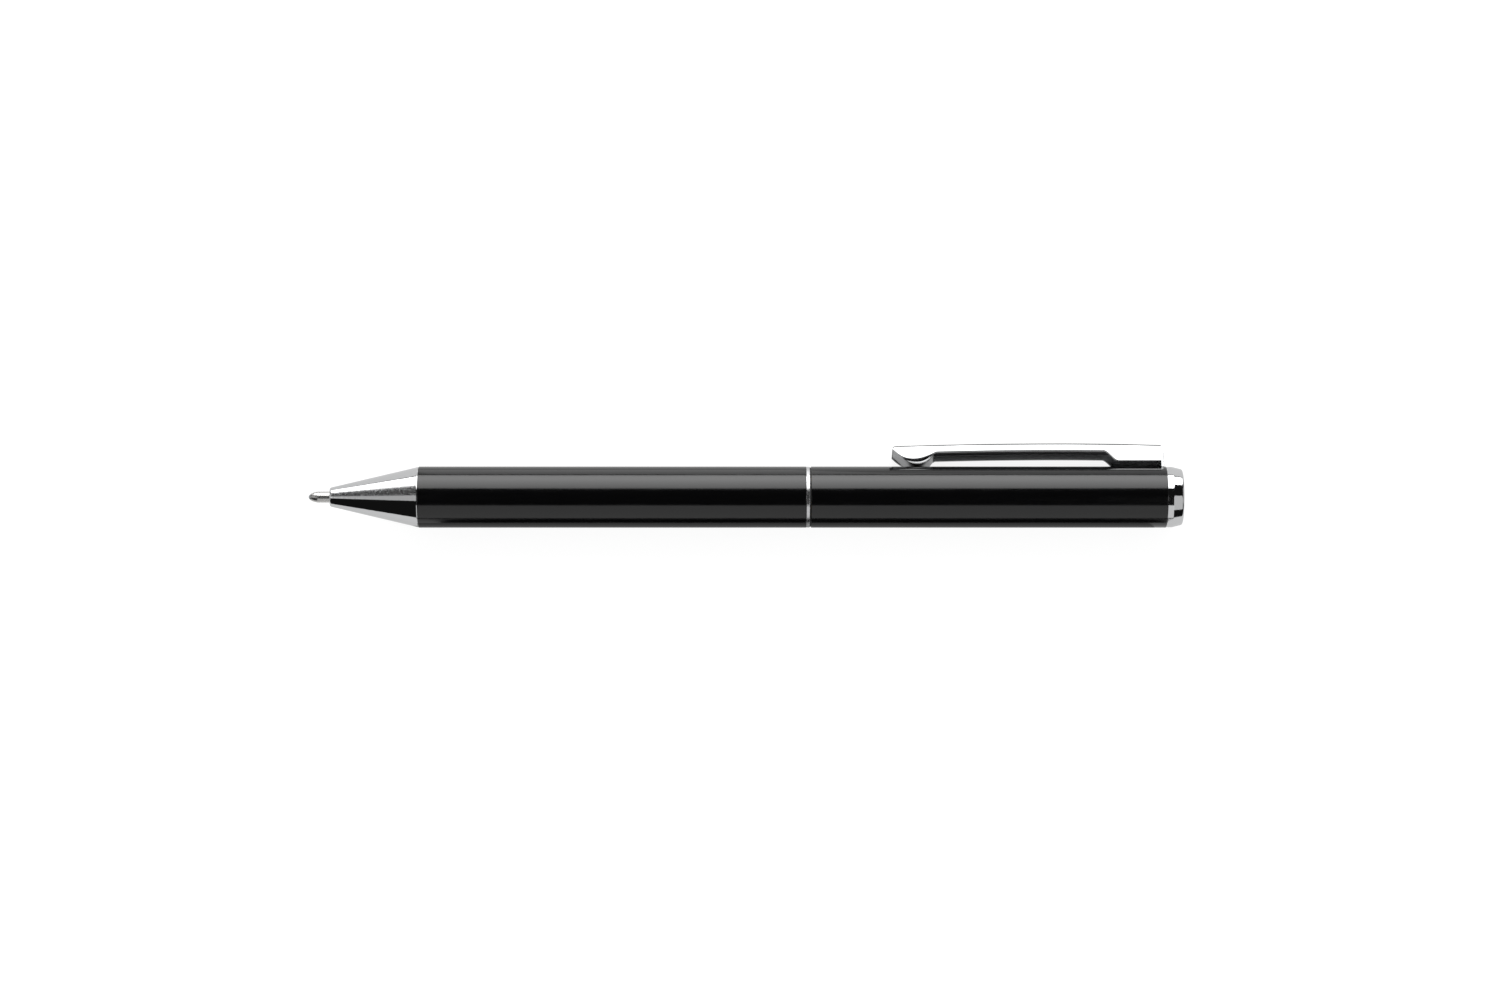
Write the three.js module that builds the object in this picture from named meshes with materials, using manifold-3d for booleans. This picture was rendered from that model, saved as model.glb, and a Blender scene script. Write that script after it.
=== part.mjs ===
// A slim twist-action ballpoint pen, lying on a table with its clip turned down to touch it.
//
// The upper barrel turns half a turn on the lower one. A spiral slot inside it then draws the
// refill back by one stroke. The lower barrel comes off at the centre ring, for a new refill,
// and the sheet-metal clip springs away from the barrel.
//
// Units are millimetres and degrees. Each piece is drawn on the pen's own axis: x is the
// station along the pen, measured from the writing tip, and z points out through the clip.
// The whole pen is then rolled about that axis until the clip meets the table at z = 0.

import * as THREE from "three";
import { mergeVertices } from "three/addons/utils/BufferGeometryUtils.js";
import Module from "manifold-3d";

// Lengths along the axis, as they follow each other from the tip
const TIP_REACH = 3.4; // writing tip in front of the nose cone
const NOSE_LENGTH = 14.27;
const LOWER_LENGTH = 62.05;
const RING_WIDTH = 0.57;
const TWIST_GAP = 0.21; // running gap between the centre ring and the upper barrel
const HEAD_ROOM = 18.68; // upper barrel behind the mechanism's housing
const CAP_LENGTH = 2.67;

// Barrels
const BARREL_DIAMETER = 9.8;
const BARREL_WALL = 0.6;
const BARREL_CHAMFER = 0.08;

// Nose cone
const NOSE_TIP_DIAMETER = 3.0;
const NOSE_STEP = 0.07; // how far the cone's rear edge lies under the barrel's surface
const NOSE_EDGE = 0.3; // rounding of the front edge
const NOSE_LAND = 0.12; // narrow straight band at the rear edge
const NOSE_WALL = 0.6; // least wall around the spring chamber
const NOSE_SPIGOT = 5.0; // length inside the lower barrel
const SPIGOT_WALL = 0.9;

// End cap
const CAP_STEP = 0.06;
const CAP_LAND = 0.96; // straight band next to the barrel
const CAP_TAPER = 13.5; // degrees
const CAP_EDGE = 0.28;
const CAP_SPIGOT_DIAMETER = 5.2;
const CAP_SPIGOT_LENGTH = 5.6;

// Centre ring and the thread behind it
const RING_STEP = 0.03;
const RING_CHAMFER = 0.08;
const THREAD_DIAMETER = 7.3;
const THREAD_LENGTH = 9.0;
const INSERT_LENGTH = 10.2;
const INSERT_INSET = 0.3;

// Refill
const REFILL_LENGTH = 106.8;
const BALL_DIAMETER = 1.0;
const BALL_SHOWS = 0.32; // height of the ball in front of its socket
const SOCKET_LIP = 0.06; // width of the rolled lip around the ball
const POINT_LENGTH = 1.44; // ball, lip and cone together
const POINT_DIAMETER = 1.77;
const INK_CHANNEL_DIAMETER = 0.7;
const SHANK_LENGTH = 2.6; // the part of the point inside the tube
const TUBE_DIAMETER = 3.15;
const TUBE_WALL = 0.3;
const SWAGE_LENGTH = 1.6; // taper at the front of the tube
const EAR_REACH = 0.4; // crimped ears that carry the spring
const EAR_LENGTH = 1.5;
const EAR_WIDTH = 0.9;
const INK_LENGTH = 72.0;
const GREASE_LENGTH = 3.5;
const PLUG_LENGTH = 4.5;
const PLUG_HEAD = 1.2;
const VENT_DIAMETER = 0.8;

// Return spring
const SPRING_WIRE = 0.3;
const SPRING_LENGTH = 14.0; // as fitted, with the tip out
const SPRING_TURNS = 10;

// Twist mechanism
const STROKE = 6.0;
const TWIST = 180; // degrees for one stroke
const HOUSING_DIAMETER = 6.8;
const HOUSING_WALL = 0.7;
const FLANGE_LENGTH = 1.0;
const COLLAR_LENGTH = 0.8;
const FRICTION_RING_ROOM = 0.1; // on each side of the rubber ring, along the axis
const SLEEVE_WALL = 0.4;
const RETAINER_LENGTH = 1.2;
const PIN_DIAMETER = 1.2;
const PIN_SETBACK = 2.7; // pin behind the refill's end
const SLIDER_TAIL = 3.0; // slider behind the pin
const SLIDER_SOCKET = 5.5; // how deep the refill sits in the slider
const LINER_LEAD = 3.0; // sleeve left bare in front of its liner

// Clip
const CLIP_LENGTH = 43.46;
const CLIP_SETBACK = 0.31; // clip's end in front of the barrel's end
const CLIP_WIDTH = 4.8;
const CLIP_SHEET = 0.45;
const CLIP_RISE = 3.51; // crown of the clip above the barrel
const CROWN_SETBACK = 16.5; // highest point of the clip's back, from its rear end
const FRONT_DROP = 0.5; // how far the back falls from the crown to the front end
const REAR_DROP = 0.3;
const CLIP_BEND = 0.5; // outside radius of the folded edges
const ARM_DEPTH = 1.24; // side wall along the arm
const BOX_FLOOR = 0.42; // side wall of the rear box above the top of the barrel
const BOX_LENGTH = 7.2;
const SWEEP_LENGTH = 2.4; // curve between arm and box
const LENS_LENGTH = 7.0; // rounded side wall over the foot
const LENS_DEPTH = 1.17; // how far it bulges below the arm
const FOOT_SHEET = 0.45;
const FOOT_RADIUS = 3.0; // underside of the bump that bears on the barrel
const FOOT_SETBACK = 3.95; // its lowest point behind the clip's front end
const FOOT_RAMP = 41; // degrees
const FOOT_SWEEP = 62; // degrees of arc behind the lowest point
const TAB_WIDTH = 2.8;
const HOOK_LENGTH = 2.2;
const HOOK_DROP = 0.55; // hook below the barrel's inner wall
const SEAT_LENGTH = 8.4;

// Clearances
const FIT = 0.05; // between pieces pressed or glued together, on the radius
const RUN = 0.12; // between pieces that turn or slide, on the radius
const END_PLAY = 0.15; // between faces that turn or slide past each other
const BALL_PLAY = 0.03;

// Fineness of the round surfaces
const ROUND_SEGMENTS = 48;
const FINE_SEGMENTS = 24;
const EDGE_STEPS = 3;

const barrelRadius = BARREL_DIAMETER / 2;
const boreRadius = barrelRadius - BARREL_WALL;

// Stations from the writing tip
const noseFront = TIP_REACH;
const lowerFront = noseFront + NOSE_LENGTH;
const ringFront = lowerFront + LOWER_LENGTH;
const ringRear = ringFront + RING_WIDTH;
const upperFront = ringRear + TWIST_GAP;

// Refill and spring
const ballRadius = BALL_DIAMETER / 2;
const pointRadius = POINT_DIAMETER / 2;
const tubeRadius = TUBE_DIAMETER / 2;
const tubeBore = tubeRadius - TUBE_WALL;
const springInside = tubeRadius + RUN;
const springMean = springInside + SPRING_WIRE / 2;
const springOutside = springInside + SPRING_WIRE;

// Nose cone: the spring chamber starts where the cone is thick enough around it
const noseTipRadius = NOSE_TIP_DIAMETER / 2;
const noseRearRadius = barrelRadius - NOSE_STEP;
const noseSlope = (noseRearRadius - noseTipRadius) / (NOSE_LENGTH - NOSE_LAND);
const chamberRadius = springOutside + RUN;
const tipBore = pointRadius + RUN;
const springSeat = noseFront + (chamberRadius + NOSE_WALL - noseTipRadius) / noseSlope;
const tubeFront = springSeat + END_PLAY;
const earsFront = springSeat + SPRING_LENGTH;

// Twist mechanism, set out from the refill's end
const threadRadius = THREAD_DIAMETER / 2;
const housingRadius = HOUSING_DIAMETER / 2;
const housingBore = housingRadius - HOUSING_WALL;
const sleeveBore = housingRadius + RUN;
const sleeveRadius = sleeveBore + SLEEVE_WALL;
const linerBore = sleeveRadius + FIT;
const linerRadius = boreRadius - FIT;
const sliderRadius = housingBore - RUN;
const pinRadius = PIN_DIAMETER / 2;
const pinStation = REFILL_LENGTH + PIN_SETBACK;
const sliderFront = REFILL_LENGTH - SLIDER_SOCKET;
const sliderRear = pinStation + SLIDER_TAIL;
const housingRear = sliderRear + STROKE + END_PLAY;
const flangeRear = ringRear + FLANGE_LENGTH;
const frictionRingRadius = (boreRadius - housingRadius) / 2 - FIT;
const grooveLength = 2 * (frictionRingRadius + FRICTION_RING_ROOM);
const collarRear = flangeRear + grooveLength + COLLAR_LENGTH;
const sleeveFront = collarRear + END_PLAY;
const sleeveRear = housingRear - RETAINER_LENGTH - END_PLAY;
const upperRear = housingRear + HEAD_ROOM;
const penLength = upperRear + CAP_LENGTH;

// Clip, in side view
const clipRear = upperRear - CLIP_SETBACK;
const clipFront = clipRear - CLIP_LENGTH;
const crownStation = clipRear - CROWN_SETBACK;
const clipCrown = barrelRadius + CLIP_RISE;
const footBottom = barrelRadius + FIT;
const footLowest = clipFront + FOOT_SETBACK;
const seatFront = upperRear - SEAT_LENGTH;
const hookTop = boreRadius - HOOK_DROP;
const notchFront = clipRear - CLIP_SHEET - END_PLAY;

const wasm = await Module();
wasm.setup();

/** Turns a closed three.js geometry into a manifold solid. */
function solidOf(geometry) {
  const bare = new THREE.BufferGeometry();
  bare.setAttribute("position", geometry.getAttribute("position"));
  bare.setIndex(geometry.getIndex());
  const merged = mergeVertices(bare, 1e-4);
  const index = merged.getIndex().array;
  const kept = [];
  for (let i = 0; i < index.length; i += 3) {
    const face = index.slice(i, i + 3);
    if (new Set(face).size === 3) kept.push(...face);
  }
  return new wasm.Manifold(
    new wasm.Mesh({
      numProp: 3,
      vertProperties: merged.getAttribute("position").array,
      triVerts: new Uint32Array(kept),
    }),
  );
}

/** Turns a manifold solid back into a three.js geometry with flat faces. */
function geometryOf(solid) {
  const mesh = solid.getMesh();
  const geometry = new THREE.BufferGeometry();
  geometry.setAttribute("position", new THREE.BufferAttribute(mesh.vertProperties, 3));
  geometry.setIndex(new THREE.BufferAttribute(mesh.triVerts, 1));
  const flat = geometry.toNonIndexed();
  flat.computeVertexNormals();
  return flat;
}

/** Twice the signed area of a closed outline, positive where it runs anticlockwise. */
function signedArea(outline) {
  return outline.reduce((sum, [x0, y0], i) => {
    const [x1, y1] = outline[(i + 1) % outline.length];
    return sum + x0 * y1 - x1 * y0;
  }, 0);
}

/** A solid of revolution about the pen's axis, from a closed outline of [station, radius]. */
function turned(outline, segments = ROUND_SEGMENTS) {
  const ordered = signedArea(outline) > 0 ? [...outline].reverse() : [...outline];
  ordered.push(ordered[0]);
  const points = ordered.map(([station, radius]) => new THREE.Vector2(radius, station));
  const geometry = new THREE.LatheGeometry(points, segments, Math.PI / segments);
  geometry.rotateZ(-Math.PI / 2);
  return solidOf(geometry);
}

/** A plain tube or rod between two stations. */
function tube(front, rear, outer, inner = 0, segments = ROUND_SEGMENTS) {
  const outline = [
    [front, inner],
    [rear, inner],
    [rear, outer],
    [front, outer],
  ];
  return turned(outline, segments);
}

/** Points on an arc about [x, y], from one angle to another, in degrees. */
function arc(x, y, radius, from, to, steps = EDGE_STEPS) {
  return Array.from({ length: steps + 1 }, (_, i) => {
    const angle = THREE.MathUtils.degToRad(from + ((to - from) * i) / steps);
    return [x + radius * Math.cos(angle), y + radius * Math.sin(angle)];
  });
}

/** A prism across the pen, from a side-view outline of [station, height]. */
function prism(outline, width) {
  const shape = new THREE.Shape(outline.map(([x, y]) => new THREE.Vector2(x, y)));
  const geometry = new THREE.ExtrudeGeometry(shape, { depth: width, bevelEnabled: false });
  geometry.rotateX(Math.PI / 2);
  geometry.translate(0, width / 2, 0);
  return solidOf(geometry);
}

/**
 * A solid skinned over a row of closed sections, each a list of [x, y, z], and capped.
 * flatten gives a section's points as [u, v] in its own plane.
 */
function lofted(sections, flatten) {
  const count = sections[0].length;
  const index = [];
  for (let s = 0; s + 1 < sections.length; s++) {
    for (let i = 0; i < count; i++) {
      const a = s * count + i;
      const b = s * count + ((i + 1) % count);
      index.push(a, b, a + count, b, b + count, a + count);
    }
  }
  const outline = flatten(sections[0]);
  const points = outline.map(([u, v]) => new THREE.Vector2(u, v));
  const last = (sections.length - 1) * count;
  for (const face of THREE.ShapeUtils.triangulateShape(points, [])) {
    const sameWay = signedArea(face.map((i) => outline[i])) * signedArea(outline) > 0;
    const [a, b, c] = sameWay ? face : [...face].reverse();
    index.push(a, c, b);
    index.push(last + a, last + b, last + c);
  }
  const geometry = new THREE.BufferGeometry();
  geometry.setAttribute("position", new THREE.Float32BufferAttribute(sections.flat(2), 3));
  geometry.setIndex(index);
  const solid = solidOf(geometry);
  if (solid.volume() > 0) return solid;
  geometry.setIndex([...index].reverse());
  return solidOf(geometry);
}

/** A round bar along z through the pen's axis. */
function crossBar(station, radius, halfLength, segments = FINE_SEGMENTS) {
  const geometry = new THREE.CylinderGeometry(radius, radius, 2 * halfLength, segments);
  geometry.rotateX(Math.PI / 2);
  geometry.translate(station, 0, 0);
  return solidOf(geometry);
}

/** A block between two stations, centred on the pen's middle plane. */
function block(front, rear, width, bottom, top) {
  const geometry = new THREE.BoxGeometry(rear - front, width, top - bottom);
  geometry.translate((front + rear) / 2, 0, (bottom + top) / 2);
  return solidOf(geometry);
}

// Lower barrel

function noseCone() {
  const spigotRadius = boreRadius - FIT;
  const coneAngle = THREE.MathUtils.radToDeg(Math.atan(noseSlope));
  return turned([
    [noseFront, tipBore],
    ...arc(noseFront + NOSE_EDGE, noseTipRadius - NOSE_EDGE, NOSE_EDGE, 180, 90 + coneAngle),
    [lowerFront - NOSE_LAND, noseRearRadius],
    [lowerFront, noseRearRadius],
    [lowerFront, spigotRadius],
    [lowerFront + NOSE_SPIGOT, spigotRadius],
    [lowerFront + NOSE_SPIGOT, spigotRadius - SPIGOT_WALL],
    [lowerFront, spigotRadius - SPIGOT_WALL],
    [lowerFront - SPIGOT_WALL, chamberRadius],
    [springSeat, chamberRadius],
    [springSeat, tipBore],
  ]);
}

/** A barrel tube with lightly chamfered ends. */
function barrelTube(front, rear) {
  return turned([
    [front, boreRadius],
    [front, barrelRadius - BARREL_CHAMFER],
    [front + BARREL_CHAMFER, barrelRadius],
    [rear - BARREL_CHAMFER, barrelRadius],
    [rear, barrelRadius - BARREL_CHAMFER],
    [rear, boreRadius],
  ]);
}

function threadInsert() {
  const front = ringFront - INSERT_INSET - INSERT_LENGTH;
  return tube(front, ringFront - INSERT_INSET, boreRadius - FIT, threadRadius + RUN);
}

// Twist mechanism

function centreRing() {
  const outer = barrelRadius - RING_STEP;
  return turned([
    [ringFront, threadRadius + FIT],
    [ringFront, outer - RING_CHAMFER],
    [ringFront + RING_CHAMFER, outer],
    [ringRear - RING_CHAMFER, outer],
    [ringRear, outer - RING_CHAMFER],
    [ringRear, threadRadius + FIT],
  ]);
}

/** The cutter for a straight slot that lets the pin run one stroke. */
function strokeSlot(halfWidth, reach) {
  const rear = pinStation + STROKE;
  const outline = [
    ...arc(rear, 0, halfWidth, -90, 90, 6),
    ...arc(pinStation, 0, halfWidth, 90, 270, 6),
  ];
  const shape = new THREE.Shape(outline.map(([x, y]) => new THREE.Vector2(x, y)));
  const geometry = new THREE.ExtrudeGeometry(shape, { depth: 2 * reach, bevelEnabled: false });
  geometry.translate(0, 0, -reach);
  return solidOf(geometry);
}

function mechanismHousing() {
  const body = turned([
    [ringFront - THREAD_LENGTH, housingBore],
    [ringFront - THREAD_LENGTH, threadRadius],
    [ringRear, threadRadius],
    [ringRear, boreRadius - RUN],
    [flangeRear, boreRadius - RUN],
    [flangeRear, housingRadius],
    [flangeRear + grooveLength, housingRadius],
    [flangeRear + grooveLength, sleeveRadius],
    [collarRear, sleeveRadius],
    [collarRear, housingRadius],
    [housingRear, housingRadius],
    [housingRear, housingBore],
  ]);
  return body.subtract(strokeSlot(pinRadius + RUN, barrelRadius));
}

function frictionRing() {
  const centre = flangeRear + grooveLength / 2;
  const radius = housingRadius + FIT + frictionRingRadius;
  return turned(arc(centre, radius, frictionRingRadius, 0, 315, 7));
}

function housingRetainer() {
  return tube(housingRear - RETAINER_LENGTH, housingRear, sleeveRadius, housingRadius + FIT);
}

/** The cutter for one spiral slot: it lets the pin climb one stroke over one twist. */
function spiralSlot(startAngle) {
  const pitchAngle = Math.atan2(STROKE, THREE.MathUtils.degToRad(TWIST) * sleeveBore);
  const halfWidth = (pinRadius + RUN) / Math.cos(pitchAngle);
  const overrun = THREE.MathUtils.radToDeg((pinRadius + RUN) / sleeveBore);
  const inner = sleeveBore - RUN;
  const outer = sleeveRadius + RUN;
  const steps = Math.round((TWIST + 2 * overrun) / 8);
  const sections = Array.from({ length: steps + 1 }, (_, i) => {
    const turn = -overrun + ((TWIST + 2 * overrun) * i) / steps;
    const angle = THREE.MathUtils.degToRad(startAngle - turn);
    const station = pinStation + (STROKE * turn) / TWIST;
    const [y, z] = [Math.cos(angle), Math.sin(angle)];
    return [
      [station - halfWidth, inner * y, inner * z],
      [station - halfWidth, outer * y, outer * z],
      [station + halfWidth, outer * y, outer * z],
      [station + halfWidth, inner * y, inner * z],
    ];
  });
  return lofted(sections, (section) => section.map(([x, y, z]) => [x, Math.hypot(y, z)]));
}

function spiralSleeve() {
  return tube(sleeveFront, sleeveRear, sleeveRadius, sleeveBore)
    .subtract(spiralSlot(90))
    .subtract(spiralSlot(270));
}

function driveLiner() {
  return tube(sleeveFront + LINER_LEAD, sleeveRear, linerRadius, linerBore);
}

function slider() {
  const body = turned([
    [sliderFront, tubeRadius + FIT],
    [sliderFront, sliderRadius],
    [sliderRear, sliderRadius],
    [sliderRear, 0],
    [REFILL_LENGTH, 0],
    [REFILL_LENGTH, tubeRadius + FIT],
  ]);
  return body.subtract(crossBar(pinStation, pinRadius + FIT, barrelRadius));
}

function sliderPin() {
  return crossBar(pinStation, pinRadius, sleeveRadius);
}

// Refill

/** The point: a rolled socket for the ball, a cone, a neck and a shank inside the tube. */
function refillPoint() {
  const seatRadius = ballRadius + BALL_PLAY;
  const channel = INK_CHANNEL_DIAMETER / 2;
  const lipAngle = THREE.MathUtils.radToDeg(Math.acos((BALL_SHOWS - ballRadius) / seatRadius));
  const channelAngle = THREE.MathUtils.radToDeg(Math.asin(channel / seatRadius));
  const lipRadius = seatRadius * Math.sin(THREE.MathUtils.degToRad(lipAngle));
  const shankRear = tubeFront + SHANK_LENGTH;
  const shankRadius = tubeBore - FIT;
  return turned(
    [
      ...arc(ballRadius, 0, seatRadius, lipAngle, channelAngle, 6),
      [shankRear, channel],
      [shankRear, shankRadius],
      [tubeFront + SWAGE_LENGTH, shankRadius],
      [tubeFront, pointRadius],
      [POINT_LENGTH, pointRadius],
      [BALL_SHOWS, lipRadius + SOCKET_LIP],
    ],
    FINE_SEGMENTS,
  );
}

function writingBall() {
  const geometry = new THREE.SphereGeometry(ballRadius, FINE_SEGMENTS, FINE_SEGMENTS / 2);
  geometry.rotateZ(-Math.PI / 2);
  geometry.translate(ballRadius, 0, 0);
  return solidOf(geometry);
}

/** The brass ink tube, swaged in at the front, with two ears crimped out of its wall. */
function refillTube() {
  const body = turned(
    [
      [tubeFront, pointRadius + FIT],
      [tubeFront, pointRadius + TUBE_WALL],
      [tubeFront + SWAGE_LENGTH, tubeRadius],
      [REFILL_LENGTH - PLUG_HEAD, tubeRadius],
      [REFILL_LENGTH - PLUG_HEAD, tubeBore],
      [tubeFront + SWAGE_LENGTH, tubeBore],
    ],
    FINE_SEGMENTS,
  );
  const middle = tubeRadius - TUBE_WALL / 2;
  const tip = tubeRadius + EAR_REACH;
  const ear = [
    [earsFront, middle],
    [earsFront + EAR_LENGTH, middle],
    [earsFront + EAR_LENGTH, tubeRadius],
    [earsFront + EAR_LENGTH / 3, tip],
    [earsFront, tip],
  ];
  const below = ear.map(([station, height]) => [station, -height]);
  return body.add(prism(ear, EAR_WIDTH)).add(prism(below, EAR_WIDTH));
}

function inkColumn() {
  const front = tubeFront + SHANK_LENGTH + FIT;
  return tube(front, front + INK_LENGTH, tubeBore - FIT, 0, FINE_SEGMENTS);
}

function greaseFollower() {
  const front = tubeFront + SHANK_LENGTH + INK_LENGTH + 2 * FIT;
  return tube(front, front + GREASE_LENGTH, tubeBore - FIT, 0, FINE_SEGMENTS);
}

function refillPlug() {
  const shoulder = REFILL_LENGTH - PLUG_HEAD;
  return turned(
    [
      [shoulder - PLUG_LENGTH, VENT_DIAMETER / 2],
      [shoulder - PLUG_LENGTH, tubeBore - FIT],
      [shoulder, tubeBore - FIT],
      [shoulder, tubeRadius],
      [REFILL_LENGTH, tubeRadius],
      [REFILL_LENGTH, VENT_DIAMETER / 2],
    ],
    FINE_SEGMENTS,
  );
}

/** The return spring: one unbroken wire of round section along a helix. */
function returnSpring() {
  const stepsPerTurn = 12;
  const sides = 6;
  const wire = SPRING_WIRE / 2;
  const front = springSeat + wire + FIT;
  const rise = SPRING_LENGTH - 2 * (wire + FIT);
  const steps = SPRING_TURNS * stepsPerTurn;
  const climb = rise / (2 * Math.PI * SPRING_TURNS * springMean);
  const lean = Math.hypot(1, climb);
  const sections = Array.from({ length: steps + 1 }, (_, i) => {
    const turn = (2 * Math.PI * i) / stepsPerTurn;
    const station = front + (rise * i) / steps;
    const [y, z] = [Math.cos(turn), Math.sin(turn)];
    return Array.from({ length: sides }, (_, k) => {
      const around = (2 * Math.PI * k) / sides;
      const out = wire * Math.cos(around);
      const along = (wire * Math.sin(around)) / lean;
      const radius = springMean + out;
      return [
        station + along,
        radius * y + along * climb * z,
        radius * z - along * climb * y,
      ];
    });
  });
  return lofted(sections, () => arc(0, 0, 1, 0, 360, sides).slice(1));
}

// Upper barrel

function upperBarrel() {
  const notch = block(notchFront, penLength, TAB_WIDTH + 2 * RUN, hookTop, clipCrown);
  return barrelTube(upperFront, upperRear).subtract(notch);
}

/** The plug that holds the clip's hook and takes the end cap's spigot. */
function clipSeat() {
  const spigotBore = CAP_SPIGOT_DIAMETER / 2 + FIT;
  const recessFront = clipRear - HOOK_LENGTH - END_PLAY;
  const recessFloor = hookTop - CLIP_SHEET - END_PLAY;
  const recess = block(recessFront, penLength, TAB_WIDTH + 2 * RUN, recessFloor, clipCrown);
  return tube(seatFront, upperRear - END_PLAY, linerRadius, spigotBore).subtract(recess);
}

function endCap() {
  const outer = barrelRadius - CAP_STEP;
  const taperLength = CAP_LENGTH - CAP_LAND - CAP_EDGE;
  const taper = THREE.MathUtils.degToRad(CAP_TAPER);
  const rim = outer - taperLength * Math.tan(taper);
  const spigot = CAP_SPIGOT_DIAMETER / 2;
  const edge = arc(penLength - CAP_EDGE, rim - CAP_EDGE, CAP_EDGE, 90 - CAP_TAPER, 0);
  return turned([
    [upperRear - CAP_SPIGOT_LENGTH, 0],
    [upperRear - CAP_SPIGOT_LENGTH, spigot],
    [upperRear, spigot],
    [upperRear, outer],
    [upperRear + CAP_LAND, outer],
    ...edge,
    [penLength, 0],
  ]);
}

// Clip

/** Height of the clip's back: a shallow bow that is highest at the crown, with rounded ends. */
function clipTop(station) {
  const behind = station > crownStation;
  const reach = behind ? CROWN_SETBACK : CLIP_LENGTH - CROWN_SETBACK;
  const share = (station - crownStation) / reach;
  const bowed = clipCrown - (behind ? REAR_DROP : FRONT_DROP) * share * share;
  const fromEnd = Math.min(station - clipFront, clipRear - station);
  const inEdge = Math.max(0, CLIP_BEND - fromEnd);
  return bowed - CLIP_BEND + Math.sqrt(CLIP_BEND * CLIP_BEND - inEdge * inEdge);
}

/** Height of the side wall's lower edge: a lens over the foot, the arm, and the rear box. */
function wallBottom(station) {
  const intoSweep = (station - (clipRear - BOX_LENGTH - SWEEP_LENGTH)) / SWEEP_LENGTH;
  const sweep = THREE.MathUtils.smoothstep(intoSweep, 0, 1);
  const intoLens = (station - clipFront) / LENS_LENGTH;
  const lens = intoLens < 1 ? Math.sin(Math.PI * intoLens) : 0;
  const onArm = clipTop(station) - ARM_DEPTH - LENS_DEPTH * lens;
  return THREE.MathUtils.lerp(onArm, barrelRadius + BOX_FLOOR, sweep);
}

/** Stations at which the clip's section is drawn: dense where its outline bends. */
function clipStations() {
  const spread = (from, to, steps) =>
    Array.from({ length: steps }, (_, i) => from + ((to - from) * i) / steps);
  const sweepRear = clipRear - BOX_LENGTH;
  return [
    ...arc(clipFront + CLIP_BEND, 0, CLIP_BEND, 180, 90, 4).map(([station]) => station),
    ...spread(clipFront + CLIP_BEND, clipFront + LENS_LENGTH, 10).slice(1),
    ...spread(clipFront + LENS_LENGTH, sweepRear - SWEEP_LENGTH, 8),
    ...spread(sweepRear - SWEEP_LENGTH, sweepRear, 6),
    ...spread(sweepRear, clipRear - CLIP_BEND, 3),
    ...arc(clipRear - CLIP_BEND, 0, CLIP_BEND, 90, 0, 4).map(([station]) => station),
  ];
}

/** The folded channel: a top plate and two side walls in one sheet, with rounded folds. */
function clipChannel() {
  const half = CLIP_WIDTH / 2;
  const insideBend = CLIP_BEND - CLIP_SHEET;
  const sections = clipStations().map((station) => {
    const top = clipTop(station);
    const bottom = wallBottom(station);
    const outerFold = arc(half - CLIP_BEND, top - CLIP_BEND, CLIP_BEND, 0, 90);
    const innerFold = arc(half - CLIP_BEND, top - CLIP_BEND, insideBend, 90, 0, 1);
    const outerMirrored = outerFold.map(([y, z]) => [-y, z]).reverse();
    const innerMirrored = innerFold.map(([y, z]) => [-y, z]).reverse();
    const outline = [
      [half, bottom],
      ...outerFold,
      ...outerMirrored,
      [-half, bottom],
      [-half + CLIP_SHEET, bottom],
      ...innerMirrored,
      ...innerFold,
      [half - CLIP_SHEET, bottom],
    ];
    return outline.map(([y, z]) => [station, y, z]);
  });
  return lofted(sections, (section) => section.map(([, y, z]) => [y, z]));
}

/** The foot: the sheet folded back under the clip's front, down a ramp and round a bump. */
function clipFoot() {
  const centre = footBottom + FOOT_RADIUS;
  const inside = FOOT_RADIUS - FOOT_SHEET;
  const rearAngle = FOOT_SWEEP - 90;
  const frontAngle = -FOOT_RAMP - 90;
  const underside = arc(footLowest, centre, FOOT_RADIUS, frontAngle, rearAngle, 10);
  const upperSide = arc(footLowest, centre, inside, rearAngle, frontAngle, 10);
  const slope = Math.tan(THREE.MathUtils.degToRad(FOOT_RAMP));
  const [lowStart, lowHeight] = underside[0];
  const [highStart, highHeight] = upperSide[upperSide.length - 1];
  const innerFront = clipFront + FOOT_SHEET;
  const overTop = clipTop(innerFront) - CLIP_SHEET / 2;
  return prism(
    [
      ...underside,
      ...upperSide,
      [innerFront, highHeight + slope * (highStart - innerFront)],
      [innerFront, overTop],
      [clipFront, clipTop(clipFront)],
      [clipFront, lowHeight + slope * (lowStart - clipFront)],
    ],
    CLIP_WIDTH - 2 * CLIP_SHEET - 2 * RUN,
  );
}

/** The clip's rear wall, cut round over the barrel. */
function clipWall() {
  const half = CLIP_WIDTH / 2;
  const over = barrelRadius + END_PLAY;
  const bottom = Math.sqrt(over * over - half * half);
  const inner = clipRear - CLIP_SHEET;
  const stations = [inner, ...clipStations().filter((station) => station > inner)];
  const sections = stations.map((station) => {
    const top = clipTop(station);
    const fold = arc(half - CLIP_BEND, top - CLIP_BEND, CLIP_BEND, 0, 90);
    const mirrored = fold.map(([y, z]) => [-y, z]).reverse();
    const outline = [[half, bottom], ...fold, ...mirrored, [-half, bottom]];
    return outline.map(([y, z]) => [station, y, z]);
  });
  const wall = lofted(sections, (section) => section.map(([, y, z]) => [y, z]));
  return wall.subtract(tube(inner - CLIP_SHEET, clipRear + CLIP_SHEET, over));
}

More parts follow.
